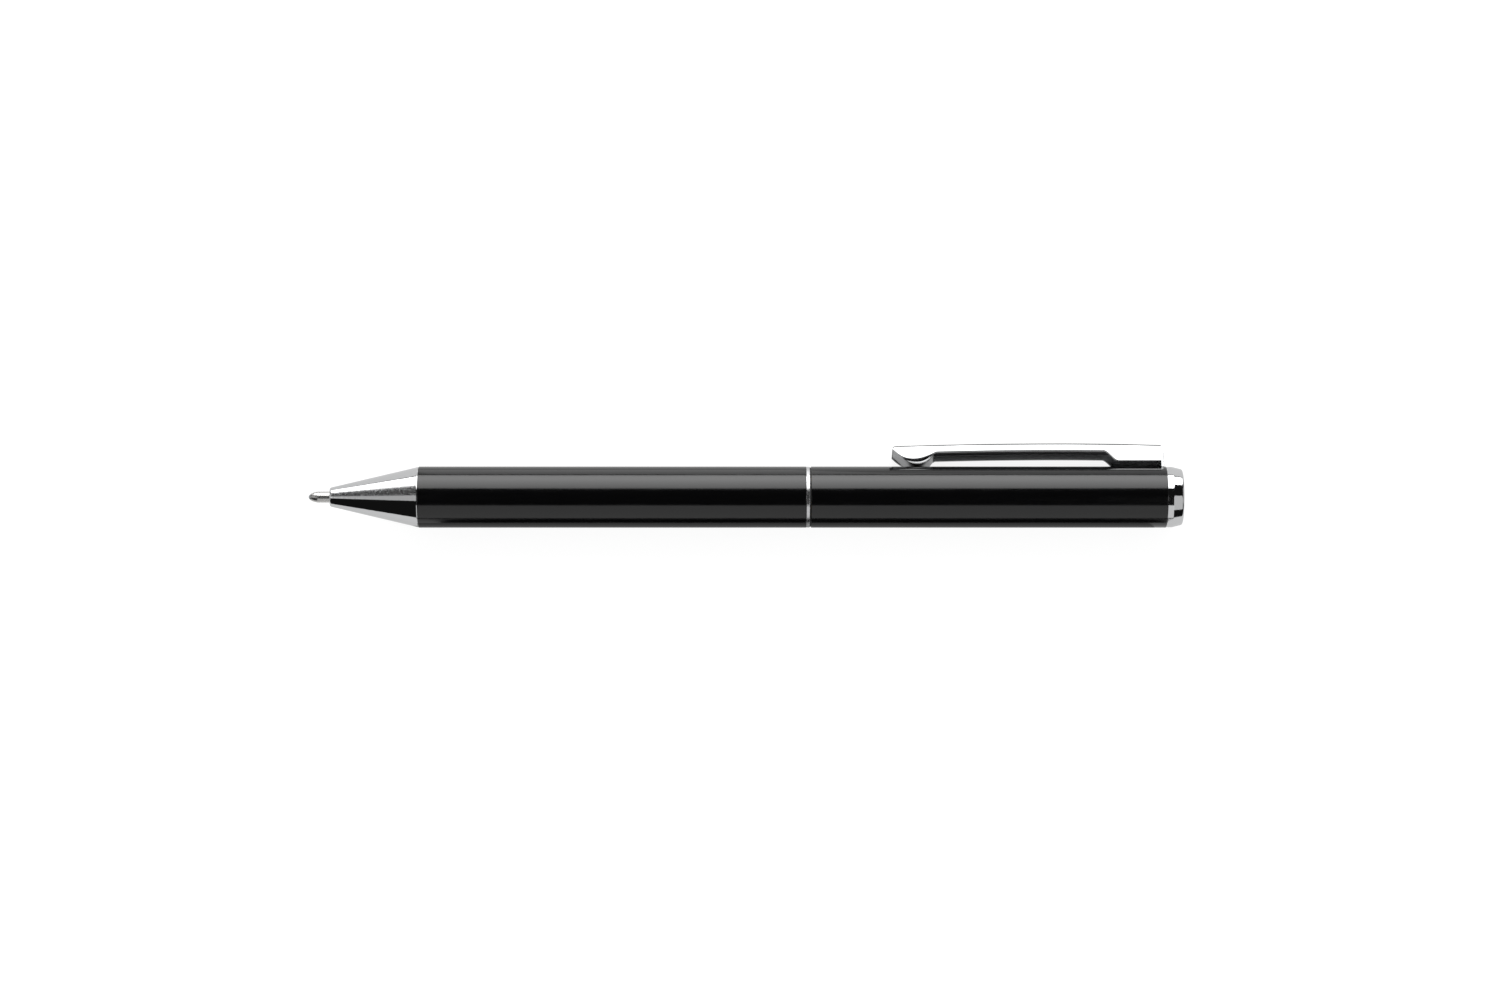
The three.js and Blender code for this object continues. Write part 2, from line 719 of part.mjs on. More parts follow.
/** The tab that enters the barrel, and the hook inside it. */
function clipTab() {
  const inner = clipRear - CLIP_SHEET;
  const top = clipTop(inner) - CLIP_SHEET / 2;
  const tab = block(inner, clipRear, TAB_WIDTH, hookTop - CLIP_SHEET, top);
  const hook = block(clipRear - HOOK_LENGTH, inner, TAB_WIDTH, hookTop - CLIP_SHEET, hookTop);
  return tab.add(hook);
}

function clip() {
  return clipChannel().add(clipWall()).add(clipFoot()).add(clipTab());
}

// Materials: colour, metalness and roughness of each finish

const finishes = {
  blackLacquer: { color: 0x0b0b0c, metalness: 0.0, roughness: 0.08 },
  chrome: { color: 0xd9dadb, metalness: 1.0, roughness: 0.05 },
  nickelSilver: { color: 0xc9c5bb, metalness: 1.0, roughness: 0.18 },
  carbide: { color: 0x8f9092, metalness: 1.0, roughness: 0.12 },
  brass: { color: 0xc9a353, metalness: 1.0, roughness: 0.25 },
  springSteel: { color: 0xb4b6b8, metalness: 1.0, roughness: 0.22 },
  whiteAcetal: { color: 0xe9e8e2, metalness: 0.0, roughness: 0.42 },
  blackPlastic: { color: 0x161617, metalness: 0.0, roughness: 0.5 },
  blackRubber: { color: 0x1c1c1c, metalness: 0.0, roughness: 0.75 },
  ink: { color: 0x101634, metalness: 0.0, roughness: 0.2 },
  grease: { color: 0xd8cf9c, metalness: 0.0, roughness: 0.25 },
};
const materials = Object.fromEntries(
  Object.entries(finishes).map(([name, look]) => [name, new THREE.MeshStandardMaterial(look)]),
);

/** One named sub-part. */
function piece(name, solid, material) {
  const mesh = new THREE.Mesh(geometryOf(solid), material);
  mesh.name = name;
  return mesh;
}

function groupOf(...pieces) {
  const group = new THREE.Group();
  group.add(...pieces);
  return group;
}

const lowerBarrel = groupOf(
  piece("lower_barrel", barrelTube(lowerFront, ringFront), materials.blackLacquer),
  piece("nose_cone", noseCone(), materials.chrome),
  piece("thread_insert", threadInsert(), materials.brass),
);

const mechanism = groupOf(
  piece("mechanism_housing", mechanismHousing(), materials.brass),
  piece("centre_ring", centreRing(), materials.chrome),
  piece("friction_ring", frictionRing(), materials.blackRubber),
  piece("housing_retainer", housingRetainer(), materials.brass),
);

const refill = groupOf(
  piece("refill_tube", refillTube(), materials.brass),
  piece("refill_point", refillPoint(), materials.nickelSilver),
  piece("writing_ball", writingBall(), materials.carbide),
  piece("ink_column", inkColumn(), materials.ink),
  piece("grease_follower", greaseFollower(), materials.grease),
  piece("refill_plug", refillPlug(), materials.blackPlastic),
  piece("return_spring", returnSpring(), materials.springSteel),
  piece("slider", slider(), materials.whiteAcetal),
  piece("slider_pin", sliderPin(), materials.springSteel),
);

const upperBarrelGroup = groupOf(
  piece("upper_barrel", upperBarrel(), materials.blackLacquer),
  piece("spiral_sleeve", spiralSleeve(), materials.whiteAcetal),
  piece("drive_liner", driveLiner(), materials.brass),
  piece("clip_seat", clipSeat(), materials.blackPlastic),
  piece("end_cap", endCap(), materials.chrome),
  piece("clip", clip(), materials.chrome),
);

// The roll that lays the clip's folded edge on the table: the fold's centre then stands one
// bend radius above it, while the axis stands one barrel radius above it.
const foldHeight = clipCrown - CLIP_BEND;
const foldSide = CLIP_WIDTH / 2 - CLIP_BEND;
const restAngle =
  Math.asin((barrelRadius - CLIP_BEND) / Math.hypot(foldHeight, foldSide)) -
  Math.atan2(foldSide, foldHeight);

const rolled = groupOf(mechanism, refill, upperBarrelGroup);
rolled.rotation.x = -Math.PI / 2 - restAngle;

const pen = groupOf(lowerBarrel, rolled);
pen.position.set(-penLength / 2, 0, barrelRadius * Math.cos(Math.PI / ROUND_SEGMENTS));
pen.name = "twist_pen";

const root = new THREE.Group();
root.add(pen);

export default root;
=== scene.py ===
"""Looks of a slim twist-action ballpoint pen that lies on a white table.

The black barrels, the bright cone, ring, cap and clip, and the refill that shows when the pen
is taken apart, are worked out here as fine surfaces round the CAD frame. Sizes are in
millimetres on the pen's own axis and become metres when a mesh is made.
"""

import bpy
import numpy as np
from mathutils import Matrix, Vector

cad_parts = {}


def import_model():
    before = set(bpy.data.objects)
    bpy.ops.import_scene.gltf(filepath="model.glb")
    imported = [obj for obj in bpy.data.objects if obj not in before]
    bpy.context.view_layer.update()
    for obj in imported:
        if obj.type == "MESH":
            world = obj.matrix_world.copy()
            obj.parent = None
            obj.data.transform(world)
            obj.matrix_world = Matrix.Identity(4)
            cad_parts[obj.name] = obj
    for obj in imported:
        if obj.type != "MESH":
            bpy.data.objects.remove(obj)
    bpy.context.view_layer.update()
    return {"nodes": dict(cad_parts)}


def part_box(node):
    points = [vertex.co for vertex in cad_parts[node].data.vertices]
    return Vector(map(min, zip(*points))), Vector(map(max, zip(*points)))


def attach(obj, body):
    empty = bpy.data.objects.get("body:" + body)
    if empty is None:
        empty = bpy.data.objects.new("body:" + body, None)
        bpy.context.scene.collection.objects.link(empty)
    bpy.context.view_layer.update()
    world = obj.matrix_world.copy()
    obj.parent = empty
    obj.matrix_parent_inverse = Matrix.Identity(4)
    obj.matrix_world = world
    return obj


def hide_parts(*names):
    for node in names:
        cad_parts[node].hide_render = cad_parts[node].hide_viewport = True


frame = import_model()

MM = 0.001


def span(node):
    """Front and rear of a CAD node along the pen, in millimetres."""
    low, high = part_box(node)
    return low[0] / MM, high[0] / MM


# The frame's own measures
LOWER_FRONT, LOWER_REAR = span("lower_barrel")
NOSE_FRONT, NOSE_REAR = span("nose_cone")
RING_FRONT, RING_REAR = span("centre_ring")
UPPER_FRONT, UPPER_REAR = span("upper_barrel")
CAP_REAR = span("end_cap")[1]
CLIP_FRONT, CLIP_REAR = span("clip")
INSERT_FRONT, INSERT_REAR = span("thread_insert")
THREAD_FRONT = span("mechanism_housing")[0]
TUBE_FRONT, TUBE_REAR = span("refill_tube")
SPRING_FRONT, SPRING_REAR = span("return_spring")
POINT_REAR = span("refill_point")[1]
BALL_FRONT = span("writing_ball")[0]
lower_low, lower_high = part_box("lower_barrel")
AXIS_HEIGHT = (lower_low[2] + lower_high[2]) / 2 / MM

# Barrels, ring, cone and cap
BARREL_RADIUS = 4.9
BORE_RADIUS = 4.3
BARREL_EDGE = 0.08
BORE_EDGE = 0.04
RING_RADIUS = 4.87
RING_BORE = 3.7
WASHER_RADIUS = 4.76
WASHER_BORE = 4.25
WASHER_PLAY = 0.015
WASHER_EDGE = 0.02
NOSE_TIP_RADIUS = 1.5
NOSE_REAR_RADIUS = 4.83
NOSE_EDGE = 0.3
NOSE_LAND = 0.12
NOSE_SPIGOT_RADIUS = 4.25
NOSE_SPIGOT_BORE = 3.35
NOSE_BORE = 1.005
CHAMBER_RADIUS = 2.115
CHAMBER_LENGTH = 9.0
CHAMBER_MOUTH = 0.9
CAP_RADIUS = 4.84
CAP_LAND = 0.96
CAP_TAPER = 13.5
CAP_RIM_EDGE = 0.3
CAP_SPIGOT_RADIUS = 2.6
CAP_SPIGOT_LENGTH = 5.6
CAP_DOME = 0.06

# Threads between the two halves
THREAD_PITCH = 0.8
THREAD_ROOT = 3.65
THREAD_CREST = 3.745
INSERT_CREST = 3.77
INSERT_ROOT = 3.9
INSERT_RADIUS = 4.25
INSERT_PLAIN_END = 0.3
THREAD_FRONT_RELIEF = 0.5
THREAD_REAR_RELIEF = 0.6
THREAD_STEPS = 8

# Refill and spring
BALL_RADIUS = 0.5
BALL_SHOWS = 0.32
BALL_PLAY = 0.015
SOCKET_WRAP = 110
POINT_RADIUS = 0.885
POINT_CONE = 1.44
POINT_BELLY = 0.78
POINT_BELLY_RADIUS = 0.745
POINT_LIP = 0.53
SHANK_RADIUS = 1.225
TUBE_RADIUS = 1.575
TUBE_BORE = 1.275
SWAGE_LENGTH = 1.6
SWAGE_RISE = 0.3
EAR_PLAY = 0.05
EAR_REACH = 0.4
EAR_LENGTH = 1.5
EAR_WIDTH = 0.9
SPRING_WIRE = 0.3
SPRING_MEAN = 1.845
SPRING_TURNS = 10
SPRING_END_PACE = 0.32

# Clip
CLIP_WIDTH = 4.8
CLIP_SHEET = 0.45
CLIP_CROWN = 8.41
CLIP_FOLD = 0.5
CROWN_SETBACK = 16.5
FRONT_DROP = 0.5
REAR_DROP = 0.3
ARM_DEPTH = 1.33
BOX_FLOOR = 0.42
BOX_LENGTH = 7.2
SWEEP_LENGTH = 2.4
STEP_MARGIN = 0.2
LENS_LENGTH = 7.0
LENS_DEPTH = 1.08
CORNER_LENGTH = 2.3
CORNER_RISE = 0.72
FOOT_RADIUS = 3.0
FOOT_SETBACK = 3.95
FOOT_RAMP = 42
FOOT_SWEEP = 62
FOOT_LIFT = 0.05
FOOT_BEND = 0.4
FOOT_INSET = 0.01
FOOT_SIDE_GAP = 0.08
REAR_INSET = 0.012
REAR_CLEARANCE = 0.1
REAR_TAPER = 0.3
TAB_WIDTH = 2.8
TAB_REACH = 3.3
TAB_BEND = 0.35
TAB_INSET = 0.06
TAB_LAP = 1.5
HOOK_LENGTH = 2.2
NOTCH_END_PLAY = 0.15
NOTCH_SIDE_PLAY = 0.12
SEAM_LAP = 0.04
INNER_FOLD_EASE = 0.04
SHEET_EASE = 0.05
CUT_EDGE = 0.07
LIP_EDGE = 0.11

# A further point this far past a rounded edge keeps the face beyond it flat
FLAT_HOLD = 0.03

# The roll that lays the clip's folded edge on the table
fold_height = CLIP_CROWN - CLIP_FOLD
fold_side = CLIP_WIDTH / 2 - CLIP_FOLD
ROLL = np.arcsin((BARREL_RADIUS - CLIP_FOLD) / np.hypot(fold_height, fold_side))
ROLL -= np.arctan2(fold_side, fold_height)

ROUND_STEPS = 240
FINE_STEPS = 96


# Shapes


def arc(x, y, radius, start, end, steps=8):
    """Points on a circle about x, y: centre plus radius times cosine and sine, in degrees."""
    angle = np.radians(np.linspace(start, end, steps + 1))
    return np.column_stack([x + radius * np.cos(angle), y + radius * np.sin(angle)])


def eased(corners, loop=True, steps=5):
    """An outline with eased corners. Each corner is (x, radius, easing).

    A corner is replaced by a quadratic curve between two points that lie the easing away from
    it along its two edges. A further point, half an easing out, keeps the edge beyond flat.
    """
    corners = np.array(corners, float)
    share = np.linspace(0, 1, steps + 1)[:, None]
    outline = []
    for i, (x, y, ease) in enumerate(corners):
        here = np.array([x, y])
        if ease == 0 or (not loop and i in (0, len(corners) - 1)):
            outline.append(here[None])
            continue
        before = corners[i - 1][:2] - here
        after = corners[(i + 1) % len(corners)][:2] - here
        before /= np.hypot(*before)
        after /= np.hypot(*after)
        start, end = here + before * ease, here + after * ease
        curve = (1 - share) ** 2 * start + 2 * share * (1 - share) * here + share**2 * end
        outline += [(here + before * ease * 1.5)[None], curve, (here + after * ease * 1.5)[None]]
    return np.vstack(outline)


def make_mesh(name, points, faces, sharp=35):
    """A mesh object at the origin from points in millimetres, smooth but for sharp edges.

    faces is a list of arrays, each with one row of point numbers for every face.
    """
    mesh = bpy.data.meshes.new(name)
    listed = [face for group in faces for face in group.tolist()]
    mesh.from_pydata((points * MM).tolist(), [], listed)
    mesh.polygons.foreach_set("use_smooth", [True] * len(listed))
    mesh.set_sharp_from_angle(angle=np.radians(sharp))
    mesh.validate()
    made = bpy.data.objects.new(name, mesh)
    bpy.context.scene.collection.objects.link(made)
    return made


def grid_faces(rows, columns, wrap_rows, wrap_columns):
    """Four-sided faces between neighbouring rows and columns of a grid of points."""
    row = np.arange(rows if wrap_rows else rows - 1)[:, None]
    column = np.arange(columns if wrap_columns else columns - 1)[None]
    next_row, next_column = (row + 1) % rows, (column + 1) % columns
    corners = [
        row * columns + column,
        row * columns + next_column,
        next_row * columns + next_column,
        next_row * columns + column,
    ]
    return np.stack(corners, axis=-1).reshape(-1, 4)


def outward(points, faces):
    """The faces, turned round if the volume that they enclose comes out negative.

    The volume is the sum over a fan of triangles in each face of a dot (b cross c).
    """
    volume = 0.0
    for group in faces:
        first = points[group[:, 0]]
        for k in range(1, group.shape[1] - 1):
            turned = np.cross(points[group[:, k]], points[group[:, k + 1]])
            volume += np.sum(first * turned)
    return faces if volume > 0 else [group[:, ::-1] for group in faces]


def revolved(name, profile, steps=ROUND_STEPS, angles=None, shift=0, swell=0, loop=True):
    """A profile of (x, radius) carried round the pen's axis.

    y is the radius times the cosine of the turn and z the radius times its sine, above the
    table by the axis height. shift moves each point along x, and swell changes its radius,
    by an array over (profile point, angle). Without loop the profile starts and ends on the
    axis, and its two ends close in a pole.
    """
    if angles is None:
        angles = np.linspace(0, 2 * np.pi, steps, endpoint=False)
    count, rows = len(angles), len(profile)
    radius = profile[:, 1:] + swell + np.zeros((rows, count))
    x = profile[:, :1] + shift + np.zeros((rows, count))
    y = radius * np.cos(angles)
    z = radius * np.sin(angles) + AXIS_HEIGHT
    points = np.stack([x, y, z], axis=-1)
    if loop:
        points = points.reshape(-1, 3)
        faces = [grid_faces(rows, count, True, True)]
    else:
        poles = points[[0, -1], 0]
        points = np.vstack([points[1:-1].reshape(-1, 3), poles])
        ring = np.arange(count)
        after = (ring + 1) % count
        rear = (rows - 3) * count
        first, last = np.full(count, rows - 2) * count, np.full(count, rows - 2) * count + 1
        faces = [
            grid_faces(rows - 2, count, False, True),
            np.column_stack([first, after, ring]),
            np.column_stack([last, rear + ring, rear + after]),
        ]
    return make_mesh(name, points, outward(points, faces))


def swept(rings, placed=lambda points: points):
    """Closed rings of points joined in a row, with a flat face over each end ring."""
    rows, columns = rings.shape[:2]
    ring = np.arange(columns)[None]
    faces = [grid_faces(rows, columns, False, True), ring[:, ::-1], (rows - 1) * columns + ring]
    points = placed(rings.reshape(-1, 3))
    return points, outward(points, faces)


def on_pen(points):
    """From (along, across, out through the clip) to the rolled pen on the table.

    y is out times the roll's cosine plus across times its sine, and z is across times the
    cosine less out times the sine, above the axis height.
    """
    along, across, out = np.moveaxis(np.asarray(points, float), -1, 0)
    y = out * np.cos(ROLL) + across * np.sin(ROLL)
    z = across * np.cos(ROLL) - out * np.sin(ROLL) + AXIS_HEIGHT
    return np.stack([along, y, z], axis=-1)


def joined(name, shells, sharp=35):
    """One mesh from several closed shells."""
    points, faces, offset = [], [], 0
    for shell_points, shell_faces in shells:
        faces += [group + offset for group in shell_faces]
        points.append(shell_points)
        offset += len(shell_points)
    return make_mesh(name, np.vstack(points), faces, sharp)


# Materials


def linear(code):
    """An sRGB hex colour as the linear colour that a shader takes."""
    value = np.array([int(code[i : i + 2], 16) for i in (1, 3, 5)]) / 255
    value = np.where(value <= 0.04045, value / 12.92, ((value + 0.055) / 1.055) ** 2.4)
    return (*value.tolist(), 1.0)


def node(tree, kind, inputs=None, **settings):
    """Adds a node with its settings. An input is a value, or the output that feeds it."""
    made = tree.nodes.new(kind)
    for key, value in settings.items():
        setattr(made, key, value)
    for key, value in (inputs or {}).items():
        if isinstance(value, bpy.types.NodeSocket):
            tree.links.new(value, made.inputs[key])
        else:
            made.inputs[key].default_value = value
    return made


def finish_of(name, **sockets):
    """A new material, its tree, its shader and the Object coordinates."""
    material = bpy.data.materials.new(name)
    material.use_nodes = True
    tree = material.node_tree
    shader = tree.nodes["Principled BSDF"]
    for key, value in sockets.items():
        shader.inputs[key.replace("_", " ")].default_value = value
    place = node(tree, "ShaderNodeTexCoord").outputs["Object"]
    return material, tree, shader, place


def noise(tree, place, size, detail=2.0, stretch=(1, 1, 1), roughness=0.5):
    """The height of a noise whose bumps are about size millimetres across, from 0 to 1."""
    scaled = node(
        tree,
        "ShaderNodeMapping",
        {"Vector": place, "Scale": tuple(s / (size * MM) for s in stretch)},
    )
    made = node(
        tree,
        "ShaderNodeTexNoise",
        {"Vector": scaled.outputs[0], "Scale": 1.0, "Detail": detail, "Roughness": roughness},
    )
    return made.outputs["Fac"]


def spread(tree, value, low, high, start=0.3, end=0.7):
    """Maps a noise's height between start and end to a value between low and high."""
    made = node(
        tree,
        "ShaderNodeMapRange",
        {
            "Value": value,
            "From Min": start,
            "From Max": end,
            "To Min": low,
            "To Max": high,
        },
    )
    return made.outputs["Result"]


def tinted(tree, value, first, second):
    """A colour between two hex colours, by a value from 0 to 1."""
    made = node(
        tree,
        "ShaderNodeMix",
        {0: value, 6: linear(first), 7: linear(second)},
        data_type="RGBA",
    )
    return made.outputs[2]


def bumped(tree, shader, *layers):
    """Feeds the shader's normal from bumps laid on each other, each (height, micrometres)."""
    normal = None
    for height, depth in layers:
        inputs = {"Height": height, "Distance": depth * MM * MM, "Strength": 1.0}
        if normal is not None:
            inputs["Normal"] = normal
        normal = node(tree, "ShaderNodeBump", inputs).outputs["Normal"]
    tree.links.new(normal, shader.inputs["Normal"])


def black_lacquer():
    """Sprayed and baked black lacquer: glass-smooth and deep, with a faint orange peel a few
    millimetres across, and fine hairlines along the barrel from handling."""
    material, tree, shader, place = finish_of("black_gloss_lacquer", Metallic=0.0, IOR=1.52)
    haze = noise(tree, place, 9.0, detail=3.0)
    tree.links.new(tinted(tree, haze, "#030303", "#050506"), shader.inputs["Base Color"])
    hairlines = noise(tree, place, 0.35, detail=4.0, stretch=(0.08, 1, 1))
    tree.links.new(spread(tree, hairlines, 0.11, 0.17), shader.inputs["Roughness"])
    peel = noise(tree, place, 2.4, detail=1.0)
    bumped(tree, shader, (peel, 1.2), (hairlines, 0.10))
    return material


def flank(tree, place):
    """1 along the two flanks that a pen is rubbed on when it is put down, and 0 elsewhere.

    It goes by the ratio of how far across a point is to how far above the pen's axis.
    """
    parts = node(tree, "ShaderNodeSeparateXYZ", {"Vector": place}).outputs
    above = node(
        tree,
        "ShaderNodeMath",
        {0: parts["Z"], 1: AXIS_HEIGHT * MM},
        operation="SUBTRACT",
    )
    ratio = node(tree, "ShaderNodeMath", {0: parts["Y"], 1: above.outputs[0]}, operation="DIVIDE")
    away = node(tree, "ShaderNodeMath", {0: ratio.outputs[0], 1: 0.32}, operation="SUBTRACT")
    away = node(tree, "ShaderNodeMath", {0: away.outputs[0]}, operation="ABSOLUTE")
    return spread(tree, away.outputs[0], 1.0, 0.0, 0.22, 0.32)


def chrome(
    name, peel_size, peel_depth, clear=0.045, hazed=0.09, pits=0.0, shades=("#cfd0d1", "#d6d6d7")
):
    """Chrome plate on a polished part: a mirror whose fine orange peel breaks up the edges of
    what it reflects. Pits in the plate are duller specks, which catch the lamp from further
    off, so that the metal looks grained where it mirrors the dark beside a lamp."""
    material, tree, shader, place = finish_of(name, Metallic=1.0)
    haze = noise(tree, place, 5.0, detail=3.0)
    tree.links.new(tinted(tree, haze, *shades), shader.inputs["Base Color"])
    grain = noise(tree, place, peel_size, detail=2.0)
    dull = spread(tree, grain, clear, hazed)
    if pits:
        specks = spread(tree, noise(tree, place, 0.22, detail=2.0), 0.2, 1.0, 0.28, 0.72)
        worn = node(tree, "ShaderNodeMath", {0: specks, 1: flank(tree, place)}, operation="MULTIPLY")
        dull = spread(tree, worn.outputs[0], clear, pits, 0.0, 1.0)
    tree.links.new(dull, shader.inputs["Roughness"])
    bumped(tree, shader, (grain, peel_depth))
    return material


def turned_metal(name, dark, light, rough, pitch):
    """Metal cut on a lathe: fine rings round the axis from the tool, which stretch highlights,
    and a little staining. The rings are drawn as coarse as they need to show."""
    material, tree, shader, place = finish_of(name, Metallic=1.0)
    stain = noise(tree, place, 3.0, detail=4.0)
    tree.links.new(tinted(tree, stain, dark, light), shader.inputs["Base Color"])
    rings = noise(tree, place, pitch, detail=2.0, stretch=(1, 0.02, 0.02))
    tree.links.new(spread(tree, rings, rough * 0.9, rough * 1.15), shader.inputs["Roughness"])
    bumped(tree, shader, (rings, pitch * 2))
    return material


def drawn_metal(name, dark, light, rough):
    """Tube or wire pulled through a die: faint streaks along it and an even satin."""
    material, tree, shader, place = finish_of(name, Metallic=1.0)
    streaks = noise(tree, place, 0.3, detail=3.0, stretch=(0.03, 1, 1))
    tree.links.new(tinted(tree, streaks, dark, light), shader.inputs["Base Color"])
    tree.links.new(spread(tree, streaks, rough * 0.8, rough * 1.3), shader.inputs["Roughness"])
    bumped(tree, shader, (streaks, 1.5))
    return material


def moulded(name, dark, light, rough, grain_size=0.25, depth=4.0):
    """Injection-moulded plastic or rubber: a fine even grain from the mould's own surface."""
    material, tree, shader, place = finish_of(name, Metallic=0.0, IOR=1.48)
    cloud = noise(tree, place, 4.0, detail=3.0)
    tree.links.new(tinted(tree, cloud, dark, light), shader.inputs["Base Color"])
    grain = noise(tree, place, grain_size, detail=3.0)
    tree.links.new(spread(tree, grain, rough * 0.85, rough * 1.15), shader.inputs["Roughness"])
    bumped(tree, shader, (grain, depth))
    return material


LACQUER = black_lacquer()
CHROME = chrome("chrome_plate_on_turned_brass", 0.34, 2.6)
# The cone is rubbed when the pen is put down, and the ring is plated on a satin cut
CONE_CHROME = chrome("pitted_chrome_plate_on_turned_brass", 0.3, 2.6, 0.05, 0.09, 0.28)
RING_CHROME = chrome("chrome_plate_on_satin_turned_brass", 0.25, 2.0, 0.2, 0.3)
# Sheet is smoother than a turned part, and stays dull where no wheel reaches; inside the channel the
# plate is also painted darker, as painted shade
CLIP_CHROME = chrome("chrome_plate_on_spring_steel", 0.8, 1.2, shades=("#c6c7c8", "#cbcccd"))
CLIP_INSIDE_DULL_AND_SHADED = chrome(
    "unpolished_chrome_plate_with_painted_shade", 0.5, 2.0, 0.28, 0.36, shades=("#a0a1a2", "#a8a9aa")
)
BRASS = turned_metal("turned_brass", "#b8934c", "#cfab62", 0.26, 0.12)
REFILL_BRASS = drawn_metal("drawn_brass_tube", "#bd9a55", "#d2b06b", 0.24)
NICKEL_SILVER = turned_metal("turned_nickel_silver", "#c4c3c1", "#d0cfcd", 0.27, 0.06)
CARBIDE = turned_metal("ground_tungsten_carbide", "#a2a4a7", "#b4b6b8", 0.3, 0.05)
SPRING_STEEL = drawn_metal("drawn_spring_steel", "#a9abae", "#c3c5c7", 0.2)
ACETAL = moulded("white_acetal", "#e2e1da", "#eeede7", 0.38)
BLACK_PLASTIC = moulded("black_moulded_plastic", "#121213", "#19191a", 0.5)
RUBBER = moulded("black_nitrile_rubber", "#161616", "#202020", 0.7, 0.15, 6.0)
INK = moulded("blue_black_ink_paste", "#0b1230", "#141d42", 0.18, 0.6, 2.0)
GREASE = moulded("clear_grease", "#cfc694", "#ddd5a8", 0.22, 0.8, 3.0)


def dress(piece, material, body, slot, *nodes):
    """Gives a piece its finish and its body, and hides the CAD nodes that it stands for. The slot is
    not used.
    """
    piece.data.materials.clear()
    piece.data.materials.append(material)
    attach(piece, body)
    if nodes:
        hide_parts(*nodes)
    return piece


# Camera, straight above the pen as in the photograph

PHOTO_WIDTH = 1500
PHOTO_HEIGHT = 1000
TIP_PIXEL = 308.7
AXIS_PIXEL = 497.1
MM_PER_PIXEL = 0.16026
CAMERA_DISTANCE = 700.0
SENSOR = 36.0


def camera():
    """Looks straight down, with the pen's tip and axis on their pixels in the photograph."""
    data = bpy.data.cameras.new("camera")
    data.sensor_width = SENSOR
    data.lens = SENSOR * CAMERA_DISTANCE / (PHOTO_WIDTH * MM_PER_PIXEL)
    data.clip_start = 0.01
    data.clip_end = 20.0
    made = bpy.data.objects.new("camera", data)
    x = BALL_FRONT + (PHOTO_WIDTH / 2 - TIP_PIXEL) * MM_PER_PIXEL
    y = (AXIS_PIXEL - PHOTO_HEIGHT / 2) * MM_PER_PIXEL
    made.location = Vector((x, y, AXIS_HEIGHT + CAMERA_DISTANCE)) * MM
    bpy.context.scene.collection.objects.link(made)
    bpy.context.scene.camera = made


camera()


# Barrels


def barrel_profile(front, rear):
    """A tube's section: outer wall, eased rear edge, bore and eased front edge."""
    return eased(
        [
            (front, BORE_RADIUS, BORE_EDGE),
            (front, BARREL_RADIUS, BARREL_EDGE),
            (rear, BARREL_RADIUS, BARREL_EDGE),
            (rear, BORE_RADIUS, BORE_EDGE),
        ]
    )


def lower_barrel():
    """A plain tube from the cone to the ring."""
    piece = revolved("lower_barrel_tube", barrel_profile(LOWER_FRONT, LOWER_REAR))
    dress(piece, LACQUER, "lower_barrel", "black_lacquer", "lower_barrel")


def notched(profile, depth, half_width):
    """Angles and a shift along x that cut a notch for the clip's tab into a tube's rear end.

    Points near the rear end move forward by depth where the angle lies within the tab's width
    of the clip. The notch's two sides each take two angles, a hair apart.
    """
    middle = -ROLL
    half = np.arcsin(half_width / BARREL_RADIUS)
    hair = np.radians(0.15)
    sides = [middle - half - hair, middle - half, middle + half, middle + half + hair]
    even = np.linspace(-np.pi, np.pi, ROUND_STEPS, endpoint=False)
    clear = np.all(np.abs(even[:, None] - np.array(sides)[None]) > hair, axis=1)
    angles = np.sort(np.concatenate([even[clear], sides]))
    inside = np.abs(angles - middle) < half + hair / 2
    near_rear = profile[:, 0] > profile[:, 0].max() - 3 * BARREL_EDGE
    return angles, -depth * near_rear[:, None] * inside[None]


def upper_barrel():
    """A tube from the ring to the cap, with a notch at its rear for the clip's tab."""
    profile = barrel_profile(UPPER_FRONT, UPPER_REAR)
    depth = UPPER_REAR - CLIP_REAR + CLIP_SHEET + NOTCH_END_PLAY
    angles, shift = notched(profile, depth, TAB_WIDTH / 2 + NOTCH_SIDE_PLAY)
    piece = revolved("upper_barrel_tube", profile, angles=angles, shift=shift)
    dress(piece, LACQUER, "upper_barrel", "black_lacquer", "upper_barrel")


# Bright parts


def nose_cone():
    """The cone, its rounded front, the land behind it, the spigot and the spring chamber."""
    corners = [
        (NOSE_FRONT, NOSE_BORE, 0.06),
        (NOSE_FRONT, NOSE_TIP_RADIUS, NOSE_EDGE),
        (LOWER_FRONT - NOSE_LAND, NOSE_REAR_RADIUS, 0.02),
        (LOWER_FRONT, NOSE_REAR_RADIUS, 0.03),
        (LOWER_FRONT, NOSE_SPIGOT_RADIUS, 0.03),
        (NOSE_REAR, NOSE_SPIGOT_RADIUS, 0.15),
        (NOSE_REAR, NOSE_SPIGOT_BORE, 0.1),
        (LOWER_FRONT, NOSE_SPIGOT_BORE, 0.1),
        (LOWER_FRONT - CHAMBER_MOUTH, CHAMBER_RADIUS, 0.1),
        (LOWER_FRONT - CHAMBER_LENGTH, CHAMBER_RADIUS, 0.05),
        (LOWER_FRONT - CHAMBER_LENGTH, NOSE_BORE, 0.05),
    ]
    piece = revolved("nose_cone_shell", eased(corners, steps=8))
    dress(piece, CONE_CHROME, "lower_barrel", "chrome", "nose_cone")


